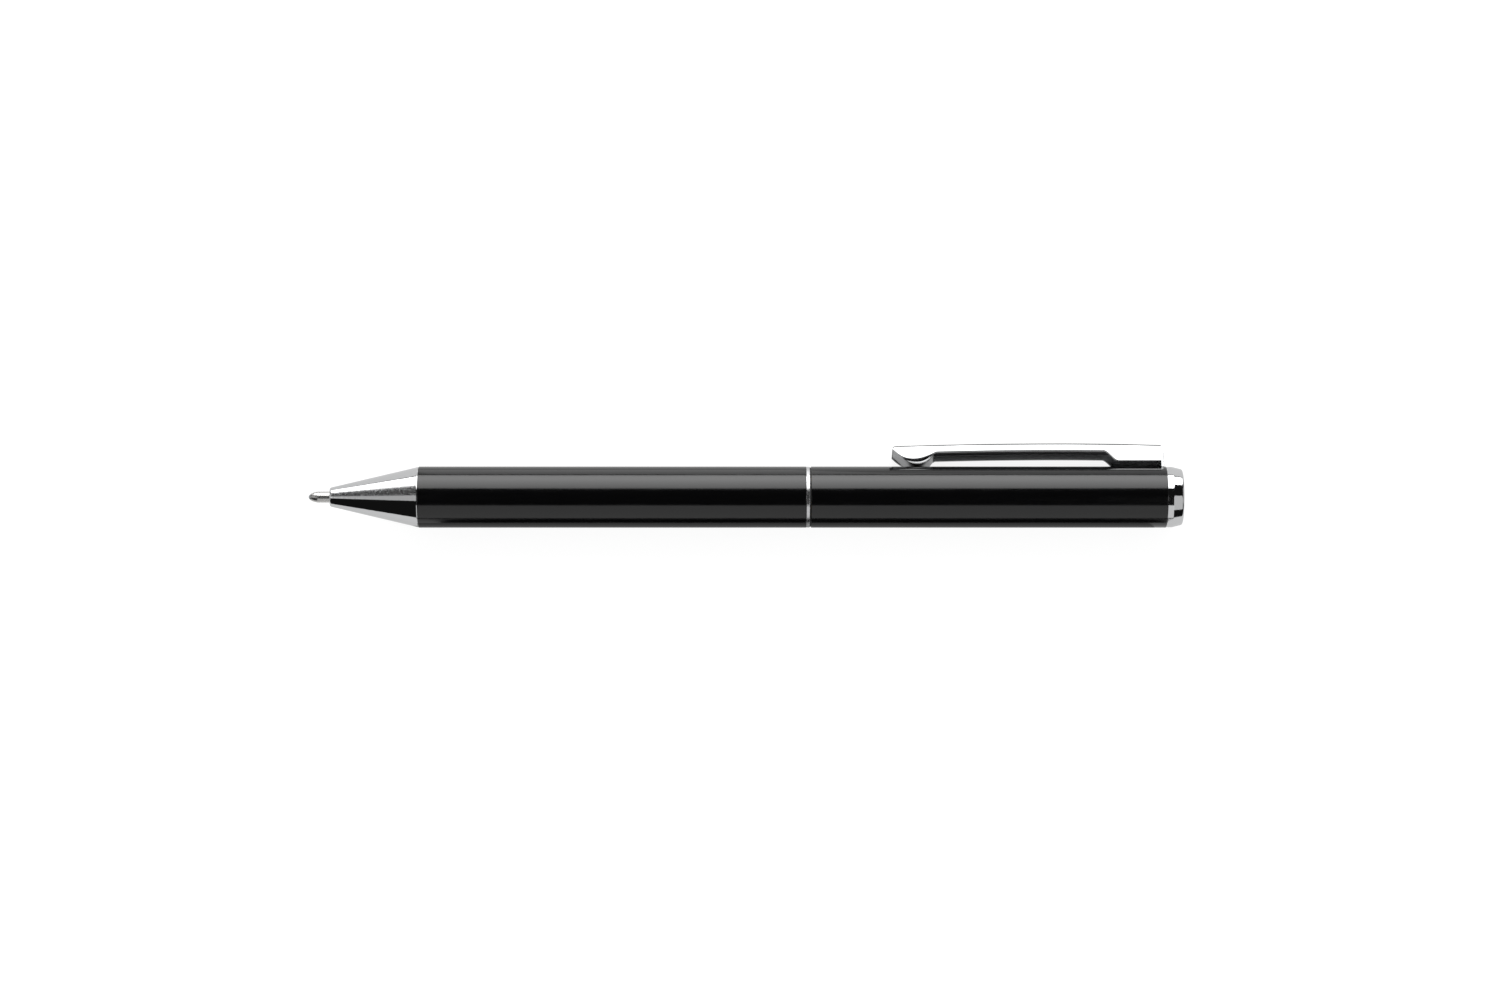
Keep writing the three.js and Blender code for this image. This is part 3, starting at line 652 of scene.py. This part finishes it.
def centre_ring():
    """A short band with eased edges, a hair lower than the barrels."""
    corners = [
        (RING_FRONT, RING_BORE, 0.03),
        (RING_FRONT, RING_RADIUS, 0.07),
        (RING_REAR, RING_RADIUS, 0.07),
        (RING_REAR, RING_BORE, 0.03),
    ]
    piece = revolved("centre_ring_band", eased(corners))
    dress(piece, RING_CHROME, "mechanism", "chrome", "centre_ring")


def glide_washer():
    """A thin flat washer in the running gap behind the ring, where the two halves turn."""
    front, rear = RING_REAR + WASHER_PLAY, UPPER_FRONT - WASHER_PLAY
    corners = [
        (front, WASHER_BORE, WASHER_EDGE),
        (front, WASHER_RADIUS, WASHER_EDGE),
        (rear, WASHER_RADIUS, WASHER_EDGE),
        (rear, WASHER_BORE, WASHER_EDGE),
    ]
    piece = revolved("glide_washer", eased(corners))
    dress(piece, BLACK_PLASTIC, "mechanism", "black_plastic")


def end_cap():
    """A straight band, a slight taper, a rounded rim, a barely domed end and a spigot."""
    taper_length = CAP_REAR - CAP_DOME - UPPER_REAR - CAP_LAND
    rim = CAP_RADIUS - taper_length * np.tan(np.radians(CAP_TAPER))
    end = CAP_REAR - CAP_DOME
    corners = [
        (UPPER_REAR - CAP_SPIGOT_LENGTH, 0.0, 0.0),
        (UPPER_REAR - CAP_SPIGOT_LENGTH, CAP_SPIGOT_RADIUS, 0.15),
        (UPPER_REAR, CAP_SPIGOT_RADIUS, 0.03),
        (UPPER_REAR, CAP_RADIUS, 0.05),
        (UPPER_REAR + CAP_LAND, CAP_RADIUS, 0.05),
        (end, rim, CAP_RIM_EDGE),
        (end + CAP_DOME * 0.7, rim * 0.5, 0.3),
        (CAP_REAR, 0.0, 0.0),
    ]
    piece = revolved("end_cap_shell", eased(corners, loop=False, steps=8), loop=False)
    dress(piece, CHROME, "upper_barrel", "chrome", "end_cap")


# Threads


def thread_wave(profile, angles):
    """The ridges of a thread, from 0 to 1 over (profile point, angle).

    It is a triangle wave of the station over the pitch, less the turn, so that the ridges climb
    one pitch for each turn.
    """
    phase = profile[:, :1] / THREAD_PITCH - angles[None] / (2 * np.pi)
    return 1 - np.abs(2 * (phase % 1) - 1)


def thread_insert():
    """A brass sleeve whose bore swings between a thread's crest and root."""
    rear, front = INSERT_REAR - INSERT_PLAIN_END, INSERT_FRONT + INSERT_PLAIN_END
    stations = np.arange(rear, front, -THREAD_PITCH / THREAD_STEPS)
    outer = eased(
        [
            (INSERT_FRONT, INSERT_ROOT, 0.0),
            (INSERT_FRONT, INSERT_RADIUS, 0.1),
            (INSERT_REAR, INSERT_RADIUS, 0.1),
            (INSERT_REAR, INSERT_ROOT, 0.0),
        ]
    )
    bore = np.column_stack([stations, np.full(len(stations), INSERT_CREST)])
    profile = np.vstack([outer, bore])
    angles = np.linspace(0, 2 * np.pi, FINE_STEPS, endpoint=False)
    in_bore = np.arange(len(profile))[:, None] >= len(outer)
    swell = in_bore * thread_wave(profile, angles) * (INSERT_ROOT - INSERT_CREST)
    piece = revolved("threaded_insert", profile, angles=angles, swell=swell)
    dress(piece, BRASS, "lower_barrel", "brass", "thread_insert")


def housing_thread():
    """The thread that stands on the housing's front end, faded out over a pitch at its ends."""
    front, rear = THREAD_FRONT + THREAD_FRONT_RELIEF, RING_FRONT - THREAD_REAR_RELIEF
    stations = np.arange(front, rear, THREAD_PITCH / THREAD_STEPS)
    root = np.column_stack([stations, np.full(len(stations), THREAD_ROOT + 0.01)])
    inside = np.array([[rear, THREAD_ROOT - 0.15], [front, THREAD_ROOT - 0.15]])
    profile = np.vstack([root, inside])
    angles = np.linspace(0, 2 * np.pi, FINE_STEPS, endpoint=False)
    from_end = np.minimum(profile[:, :1] - front, rear - profile[:, :1])
    fade = np.clip(from_end / THREAD_PITCH, 0, 1)
    outside = np.arange(len(profile))[:, None] < len(stations)
    swell = outside * thread_wave(profile, angles) * fade * (THREAD_CREST - THREAD_ROOT)
    piece = revolved("housing_thread", profile, angles=angles, swell=swell)
    dress(piece, BRASS, "mechanism", "brass")


# Refill


def refill_point():
    """The point: the ball's round socket, rolled lip, bullet cone, neck, and a shank that is
    pressed into the tube."""
    shoulder = TUBE_FRONT
    middle = BALL_FRONT + BALL_RADIUS
    socket = arc(middle, 0, BALL_RADIUS + BALL_PLAY, 0, SOCKET_WRAP, 12)
    socket[0, 1] = 0
    corners = [
        (BALL_FRONT + BALL_SHOWS, POINT_LIP - 0.02, 0.0),
        (BALL_FRONT + BALL_SHOWS, POINT_LIP, 0.01),
        (BALL_FRONT + POINT_BELLY, POINT_BELLY_RADIUS, 0.25),
        (BALL_FRONT + POINT_CONE, POINT_RADIUS, 0.05),
        (shoulder, POINT_RADIUS, 0.05),
        (shoulder + SWAGE_LENGTH, SHANK_RADIUS, 0.05),
        (POINT_REAR, SHANK_RADIUS, 0.1),
        (POINT_REAR, 0.0, 0.0),
    ]
    profile = np.vstack([socket, eased(corners, loop=False)])
    piece = revolved("refill_point_turned", profile, FINE_STEPS, loop=False)
    dress(piece, NICKEL_SILVER, "refill", "nickel_silver", "refill_point")


def writing_ball():
    """A sphere as a half circle carried round the axis."""
    half = arc(BALL_FRONT + BALL_RADIUS, 0, BALL_RADIUS, 180, 0, 24)
    half[[0, -1], 1] = 0
    piece = revolved("writing_ball_ground", half, 48, loop=False)
    dress(piece, CARBIDE, "writing_ball", "carbide", "writing_ball")


def refill_tube():
    """The ink tube, swaged in at its front, with two ears crimped out of its wall.

    Each ear swells the radius by its reach times a steep front and a long slope behind, over
    a narrow bell of the turn.
    """
    ears = SPRING_REAR + EAR_PLAY
    lengthwise = np.linspace(ears - 0.2, ears + EAR_LENGTH + 0.2, 25)
    front = eased(
        [
            (TUBE_FRONT, POINT_RADIUS + 0.05, 0.0),
            (TUBE_FRONT, POINT_RADIUS + SWAGE_RISE, 0.08),
            (TUBE_FRONT + SWAGE_LENGTH, TUBE_RADIUS, 0.3),
            (TUBE_FRONT + SWAGE_LENGTH + 1, TUBE_RADIUS, 0.0),
        ],
        loop=False,
    )
    crimped = np.column_stack([lengthwise, np.full(len(lengthwise), TUBE_RADIUS)])
    rear = eased(
        [
            (TUBE_REAR - 1, TUBE_RADIUS, 0.0),
            (TUBE_REAR, TUBE_RADIUS, 0.05),
            (TUBE_REAR, TUBE_BORE, 0.05),
            (TUBE_FRONT + SWAGE_LENGTH, TUBE_BORE, 0.2),
            (TUBE_FRONT, POINT_RADIUS + 0.05, 0.0),
        ],
        loop=False,
    )
    profile = np.vstack([front, crimped, rear[:-1]])
    angles = np.linspace(0, 2 * np.pi, FINE_STEPS, endpoint=False)
    along = (profile[:, :1] - ears) / EAR_LENGTH
    rise = np.clip(along / 0.12, 0, 1) * np.clip((1 - along) / 0.6, 0, 1)
    on_wall = (profile[:, 1:] > TUBE_RADIUS - 0.01) & (np.abs(along - 0.5) < 0.7)
    lean = angles[None] + ROLL
    bell = np.exp(-((np.sin(lean) * TUBE_RADIUS / (EAR_WIDTH * 0.42)) ** 2))
    piece = revolved(
        "refill_tube_drawn", profile, angles=angles, swell=on_wall * rise * bell * EAR_REACH
    )
    dress(piece, REFILL_BRASS, "refill", "refill_brass", "refill_tube")


def return_spring():
    """A round wire wound into a spring.

    The wire's middle lies at the mean radius, at an angle that grows evenly with the turns.
    Its station climbs slowly over the first and last turn, which lie nearly closed.
    """
    steps = 28
    turn = np.linspace(0, SPRING_TURNS, SPRING_TURNS * steps + 1)
    from_end = np.clip(np.minimum(turn, SPRING_TURNS - turn), 0, 1)
    pace = SPRING_END_PACE + (1 - SPRING_END_PACE) * from_end**2
    climb = np.concatenate([[0], np.cumsum((pace[1:] + pace[:-1]) / 2)])
    wire = SPRING_WIRE / 2
    length = SPRING_REAR - SPRING_FRONT - SPRING_WIRE
    station = SPRING_FRONT + wire + climb / climb[-1] * length
    angle = 2 * np.pi * turn
    around = np.linspace(0, 2 * np.pi, 12, endpoint=False)
    radius = SPRING_MEAN + wire * np.cos(around)[None]
    points = np.stack(
        [
            station[:, None] + wire * np.sin(around)[None],
            radius * np.cos(angle)[:, None],
            radius * np.sin(angle)[:, None] + AXIS_HEIGHT,
        ],
        axis=-1,
    )
    piece = joined("return_spring_coil", [swept(points)], sharp=60)
    dress(piece, SPRING_STEEL, "refill", "spring_steel", "return_spring")


# Clip


def clip_bow(station):
    """The clip's back: a shallow bow, highest at the crown."""
    crown = CLIP_REAR - CROWN_SETBACK
    reach = np.where(station > crown, CROWN_SETBACK, crown - CLIP_FRONT)
    drop = np.where(station > crown, REAR_DROP, FRONT_DROP)
    return CLIP_CROWN - drop * ((station - crown) / reach) ** 2


def clip_top(station):
    """The bow, rounded off at its front end by a quarter circle."""
    into_edge = np.clip(CLIP_FOLD - (station - CLIP_FRONT), 0, CLIP_FOLD)
    return clip_bow(station) - CLIP_FOLD + np.sqrt(CLIP_FOLD**2 - into_edge**2)


def clip_bottom(station):
    """The side wall's lower edge: half a sine wave over the foot, the arm, and an S-step.

    At its front end the wall is less deep, by a parabola over the first stretch.
    """
    into_sweep = (station - (CLIP_REAR - BOX_LENGTH - SWEEP_LENGTH)) / SWEEP_LENGTH
    sweep = np.clip(into_sweep, 0, 1)
    sweep = sweep * sweep * (3 - 2 * sweep)
    into_lens = np.clip((station - CLIP_FRONT) / LENS_LENGTH, 0, 1)
    corner = np.clip(1 - (station - CLIP_FRONT) / CORNER_LENGTH, 0, 1) ** 2
    depth = ARM_DEPTH + LENS_DEPTH * np.sin(np.pi * into_lens) - CORNER_RISE * corner
    on_arm = clip_bow(station) - depth
    return on_arm + (BARREL_RADIUS + BOX_FLOOR - on_arm) * sweep


def channel_shell(rear):
    """The folded channel: its section, a sheet with two rounded folds, carried along the clip.

    Each point of the section keeps its distance from the back, or from the side wall's lower
    edge, whichever it hangs on. Where the wall is too low for that, the distances shrink.
    """
    half, fold, cut, hold = CLIP_WIDTH / 2, CLIP_FOLD, LIP_EDGE, FLAT_HOLD
    inside = fold - CLIP_SHEET + INNER_FOLD_EASE
    outer = arc(half - fold, -fold, fold, 0, 90, 8)
    outer = np.vstack([[half, -fold - hold], outer, [half - fold - hold, 0]])
    inner = arc(half - fold, -fold, inside, 90, 0, 4)
    inner = np.vstack(
        [[half - fold - hold, inside - fold], inner, [half - fold + inside, -fold - hold]]
    )
    lip_out = np.vstack([arc(half - cut, cut, cut, -90, 0, 6), [half, cut + hold]])
    inner_wall = half - fold + inside
    lip_in = np.vstack([[inner_wall, cut + hold], arc(inner_wall + cut, cut, cut, 180, 270, 6)])
    mirrored = [np.column_stack([-part[:, 0], part[:, 1]])[::-1] for part in (outer, inner)]
    lips = [np.column_stack([-part[:, 0], part[:, 1]])[::-1] for part in (lip_out, lip_in)]
    rows = [
        (lip_out, 0),
        (outer, 1),
        (mirrored[0], 1),
        (lips[0], 0),
        (lips[1], 0),
        (mirrored[1], 1),
        (inner, 1),
        (lip_in, 0),
    ]
    across = np.concatenate([part[:, 0] for part, _ in rows])
    height = np.concatenate([part[:, 1] for part, _ in rows])
    on_back = np.concatenate([np.full(len(part), kind) for part, kind in rows])
    lens_rear = CLIP_FRONT + LENS_LENGTH
    step_rear = CLIP_REAR - BOX_LENGTH + STEP_MARGIN
    step_front = CLIP_REAR - BOX_LENGTH - SWEEP_LENGTH - STEP_MARGIN
    stations = np.concatenate(
        [
            CLIP_FRONT + fold * (1 - np.cos(np.linspace(0, np.pi / 2, 9))),
            np.linspace(CLIP_FRONT + fold, lens_rear, 40)[1:],
            np.linspace(lens_rear, step_front, 60)[1:],
            np.linspace(step_front, step_rear, 24)[1:],
            np.linspace(step_rear, rear, 16)[1:],
        ]
    )
    top, bottom = clip_top(stations)[:, None], clip_bottom(stations)[:, None]
    squeeze = np.clip((top - bottom) / (fold + cut + 3 * hold), 0.1, 1)
    out = np.where(on_back[None] == 1, top, bottom) + height[None] * squeeze
    along = stations[:, None] + 0 * out
    rings = np.stack([along, across[None] + 0 * out, out], axis=-1)
    return swept(rings, on_pen)


def strip_shell(path, sheet, half_width, contour=None):
    """A strip of sheet carried along a path of (along, out), with eased cut edges.

    Each section is a rounded rectangle square to the path: it reaches half_width to each side
    and half the sheet to each face. contour lifts the last points by how far across they are.
    """
    half_width = np.broadcast_to(half_width, len(path))
    heading = np.gradient(path, axis=0)
    heading /= np.hypot(heading[:, 0], heading[:, 1])[:, None]
    normal = np.column_stack([-heading[:, 1], heading[:, 0]])
    cut, hold, thick = CUT_EDGE, FLAT_HOLD, sheet / 2
    right = np.vstack(
        [
            [-cut - hold, thick],
            arc(-cut, thick - cut, cut, 90, 0, 3),
            arc(-cut, cut - thick, cut, 0, -90, 3),
            [-cut - hold, -thick],
        ]
    )
    left = np.column_stack([-right[:, 0], right[:, 1]])[::-1]
    side = np.concatenate([np.ones(len(right)), -np.ones(len(left))])
    offset = np.vstack([right, left])
    across = side[None] * half_width[:, None] + offset[None, :, 0]
    along = path[:, :1] + normal[:, :1] * offset[None, :, 1]
    out = path[:, 1:] + normal[:, 1:] * offset[None, :, 1]
    if contour is not None:
        out = out + contour(across)
    return swept(np.stack([along, across, out], axis=-1), on_pen)


def foot_shell():
    """The foot: down from the front fold, back along the ramp and round the bump."""
    thick = CLIP_SHEET / 2
    radius = FOOT_RADIUS - thick
    lowest = CLIP_FRONT + FOOT_SETBACK
    centre = BARREL_RADIUS + FOOT_LIFT + FOOT_RADIUS
    bump = arc(lowest, centre, radius, -90 - FOOT_RAMP, FOOT_SWEEP - 90, 28)
    bend_x = CLIP_FRONT + thick + FOOT_INSET + FOOT_BEND
    bend_end = arc(bend_x, 0, FOOT_BEND, 180, 270 - FOOT_RAMP, 1)[1]
    slope = np.tan(np.radians(FOOT_RAMP))
    bend_out = bump[0, 1] + (bump[0, 0] - bend_end[0]) * slope - bend_end[1]
    front_bend = arc(bend_x, bend_out, FOOT_BEND, 200, 270 - FOOT_RAMP, 6)
    path = np.vstack([front_bend, bump])
    return strip_shell(path, CLIP_SHEET, CLIP_WIDTH / 2 - CLIP_SHEET - FOOT_SIDE_GAP)


def rear_shell():
    """The rear wall: from the clip's back round a fold and down to the barrel, which its lower
    edge follows: the height there is the root of the barrel's radius squared less how far
    across the point is, squared."""
    sheet = CLIP_SHEET - 2 * REAR_INSET
    top = clip_top(CLIP_REAR - CLIP_FOLD) - REAR_INSET
    rear = CLIP_REAR - REAR_INSET
    fold = arc(rear - CLIP_FOLD, top - CLIP_FOLD, CLIP_FOLD - sheet / 2, 90, 0, 10)
    start = [[rear - 2 * CLIP_FOLD, top - sheet / 2]]
    lowest = BARREL_RADIUS + REAR_CLEARANCE
    rows = 13
    down = np.linspace(fold[-1, 1], lowest, rows)
    down[0] -= FLAT_HOLD
    wall = np.column_stack([np.full(rows, fold[-1, 0]), down])
    path = np.vstack([start, fold, wall])
    share = np.concatenate([np.zeros(len(path) - rows), np.linspace(0, 1, rows)])
    half = CLIP_WIDTH / 2 - REAR_INSET - REAR_TAPER * (1 - np.clip(share * 5, 0, 1))

    def follow(across):
        drop = np.sqrt(lowest**2 - across**2) - lowest
        return drop * share[:, None]

    return strip_shell(path, sheet, half, follow)


def tab_shell():
    """The tab that goes into the barrel and the hook that holds it there."""
    sheet = CLIP_SHEET - TAB_INSET
    x = CLIP_REAR - CLIP_SHEET / 2
    hook_out = TAB_REACH + sheet / 2
    top = [[x, BARREL_RADIUS + TAB_LAP]]
    fold = arc(x - TAB_BEND, hook_out + TAB_BEND, TAB_BEND, 0, -90, 8)
    hook_end = [[CLIP_REAR - HOOK_LENGTH, hook_out]]
    return strip_shell(np.vstack([top, fold, hook_end]), sheet, TAB_WIDTH / 2)


def finish_and_paint_shade_inside(piece):
    """Gives the unpolished finish, whose darker colour is painted shade, to the clip's faces that
    lie under its back and within its side walls, by each face's middle turned back into (along,
    across, out)."""
    piece.data.materials.append(CLIP_INSIDE_DULL_AND_SHADED)
    faces = piece.data.polygons
    centre = np.empty(3 * len(faces))
    faces.foreach_get("center", centre)
    along, y, z = centre.reshape(-1, 3).T / MM
    z = z - AXIS_HEIGHT
    across = y * np.sin(ROLL) + z * np.cos(ROLL)
    out = y * np.cos(ROLL) - z * np.sin(ROLL)
    under = out < clip_bow(along) - CLIP_SHEET + SHEET_EASE
    under &= along < CLIP_REAR - CLIP_SHEET - SHEET_EASE
    within = np.abs(across) < CLIP_WIDTH / 2 - CLIP_SHEET - SHEET_EASE
    # Painted shade: the darker inside colour goes on the faces in the clip's hollow
    faces.foreach_set("material_index", (under & within).astype(np.int32))


def clip():
    """One folded sheet: the channel, the foot, the rear wall and the tab with its hook."""
    shells = [
        channel_shell(CLIP_REAR - CLIP_SHEET + SEAM_LAP),
        foot_shell(),
        rear_shell(),
        tab_shell(),
    ]
    piece = joined("clip_folded_sheet", shells)
    dress(piece, CLIP_CHROME, "clip", "clip_chrome", "clip")
    finish_and_paint_shade_inside(piece)


lower_barrel()
upper_barrel()
nose_cone()
centre_ring()
glide_washer()
end_cap()
thread_insert()
housing_thread()
refill_point()
writing_ball()
refill_tube()
return_spring()
clip()

# The CAD pieces that stay as they are, deep inside the pen
KEPT = {
    "mechanism_housing": BRASS,
    "housing_retainer": BRASS,
    "drive_liner": BRASS,
    "friction_ring": RUBBER,
    "slider": ACETAL,
    "spiral_sleeve": ACETAL,
    "slider_pin": SPRING_STEEL,
    "clip_seat": BLACK_PLASTIC,
    "refill_plug": BLACK_PLASTIC,
    "ink_column": INK,
    "grease_follower": GREASE,
}
for name, material in KEPT.items():
    kept = frame["nodes"][name]
    kept.data.materials.clear()
    kept.data.materials.append(material)


# Table, studio and lamps

TABLE_SIZE = 4.0
TABLE_DROP = 0.03
TABLE_GLOW = 0.55
TABLE_GLOW_SEEN = 0.31
LAMP_DISTANCE = 0.6
STUDIO_LIGHT = 0.58
STUDIO_IN_MIRRORS = 0.008


def plane(name, near, far, height, rise=0.0):
    """A flat sheet between two edges, each (x at the left, x at the right, y), in millimetres.

    The near edge lies at the height, and the far edge higher by the rise.
    """
    (x0, x1, y0), (x2, x3, y1) = near, far
    top = height + rise
    points = np.array([[x0, y0, height], [x1, y0, height], [x3, y1, top], [x2, y1, top]])
    made = make_mesh(name, points, [np.array([[0, 1, 2, 3]])])
    return made


def seen_or_mirrored(tree):
    """1 for what the camera sees, or sees in a mirror or through glass, and 0 for other light."""
    path = node(tree, "ShaderNodeLightPath").outputs
    first = node(
        tree,
        "ShaderNodeMath",
        {0: path["Is Camera Ray"], 1: path["Is Glossy Ray"]},
        operation="MAXIMUM",
    )
    both = node(
        tree,
        "ShaderNodeMath",
        {0: first.outputs[0], 1: path["Is Transmission Ray"]},
        operation="MAXIMUM",
    )
    return both.outputs[0]


def table():
    """White paper. Most of what the camera sees of it is plain white, and the rest is lit, so
    that it keeps a soft shadow."""
    reach = TABLE_SIZE / 2 / MM
    top = plane("table_top", (-reach, reach, -reach), (-reach, reach, reach), -TABLE_DROP)
    material, tree, shader, _ = finish_of("white_paper", Roughness=0.9)
    shader.inputs["Base Color"].default_value = linear("#f4f4f3")
    lit = node(tree, "ShaderNodeBsdfDiffuse", {"Color": linear("#7c7c7c")})
    direct = node(tree, "ShaderNodeLightPath").outputs["Is Camera Ray"]
    extra = node(
        tree,
        "ShaderNodeMath",
        {0: direct, 1: TABLE_GLOW_SEEN},
        operation="MULTIPLY",
    )
    level = node(tree, "ShaderNodeMath", {0: extra.outputs[0], 1: TABLE_GLOW}, operation="ADD")
    glow = node(tree, "ShaderNodeEmission", {"Strength": level.outputs[0]})
    seen = node(tree, "ShaderNodeAddShader", {0: lit.outputs[0], 1: glow.outputs[0]})
    both = node(
        tree,
        "ShaderNodeMixShader",
        {0: seen_or_mirrored(tree), 1: shader.outputs[0], 2: seen.outputs[0]},
    )
    tree.links.new(both.outputs[0], tree.nodes["Material Output"].inputs["Surface"])
    top.data.materials.append(material)


def flag(name, near, far, strength, rise=0.0):
    """A studio flag that only mirrors see: it lies just above the table, or stands on it."""
    made = plane(name, near, far, 0.0, rise)
    material, tree, _, _ = finish_of(name + "_card")
    glow = node(tree, "ShaderNodeEmission", {"Color": (1, 1, 1, 1), "Strength": strength})
    tree.links.new(glow.outputs[0], tree.nodes["Material Output"].inputs["Surface"])
    made.data.materials.append(material)
    made.visible_camera = False
    made.visible_diffuse = False
    made.visible_transmission = False
    made.visible_shadow = False


def lamp(name, radiance, width, depth, tilt, lean, shape="RECTANGLE", spread=180):
    """A flat lamp that faces the pen.

    tilt leans it along the pen and lean across it, both from straight above, in degrees. Its
    power is its radiance times pi times its area.
    """
    data = bpy.data.lights.new(name, "AREA")
    data.shape = shape
    data.size = width
    data.size_y = depth
    area = width * depth * (np.pi / 4 if shape == "ELLIPSE" else 1)
    data.energy = radiance * np.pi * area
    data.spread = np.radians(spread)
    made = bpy.data.objects.new(name, data)
    tilt, lean = np.radians([tilt, lean])
    toward = Vector((np.sin(tilt), np.cos(tilt) * np.sin(lean), np.cos(tilt) * np.cos(lean)))
    up = toward.cross(Vector((1, 0, 0))).normalized()
    across = up.cross(toward)
    turn = Matrix((across, up, toward)).transposed().to_4x4()
    made.matrix_world = Matrix.Translation(toward * LAMP_DISTANCE) @ turn
    bpy.context.scene.collection.objects.link(made)


def world():
    """White for the camera, and a dark studio for mirrors, with soft light from all round."""
    made = bpy.data.worlds.new("studio")
    made.use_nodes = True
    tree = made.node_tree
    tree.nodes.clear()
    path = node(tree, "ShaderNodeLightPath").outputs
    darker = STUDIO_IN_MIRRORS - STUDIO_LIGHT
    dark = node(tree, "ShaderNodeMath", {0: path["Is Glossy Ray"], 1: darker}, operation="MULTIPLY")
    soft = node(tree, "ShaderNodeMath", {0: dark.outputs[0], 1: STUDIO_LIGHT}, operation="ADD")
    strength = node(
        tree,
        "ShaderNodeMath",
        {0: path["Is Camera Ray"], 1: soft.outputs[0]},
        operation="MAXIMUM",
    )
    back = node(
        tree,
        "ShaderNodeBackground",
        {"Color": (1, 1, 1, 1), "Strength": strength.outputs[0]},
    )
    out = node(tree, "ShaderNodeOutputWorld")
    tree.links.new(back.outputs[0], out.inputs["Surface"])
    bpy.context.scene.world = made


table()
# The barrel's fine dark line near its upper edge, and the lighter band above it
flag("north_flag", (-500, 500, 100), (-500, 500, 600), 0.01)
flag("north_card", (-54, 8, 15), (-54, 60, 70), 1.3)
# The barrel's fine dark line near its lower edge, and the grey band below it
flag("south_flag", (-54, 66, -20), (-54, 66, -3), 0.33)
flag("south_dark_flag", (-91, 125, -600), (-50, 69, -20.5), 0.01)
# The clip's dark outline against the white table
flag("clip_flag", (23.2, 67, 8.75), (23.2, 67, 8.9), 0.1, rise=4.6)
# The barrel's two broad highlights, and then what the cap, the cone and the point mirror
lamp("north_softbox", 1.8, 0.94, 1.0, 0, 72, "ELLIPSE", 120)
lamp("south_panel", 0.76, 0.4, 0.62, 0, -58.7)
lamp("cap_end_panel", 0.66, 0.3, 0.54, 29, -25)
lamp("cone_end_panel", 0.52, 0.3, 0.2, -29, -4)
lamp("point_panel", 0.6, 0.16, 0.5, -47, 18)
lamp("west_panel", 0.7, 0.3, 0.5, -76, 10)
lamp("east_panel", 0.5, 0.4, 0.5, 66, 10)
world()

bpy.context.scene.view_settings.view_transform = "Standard"
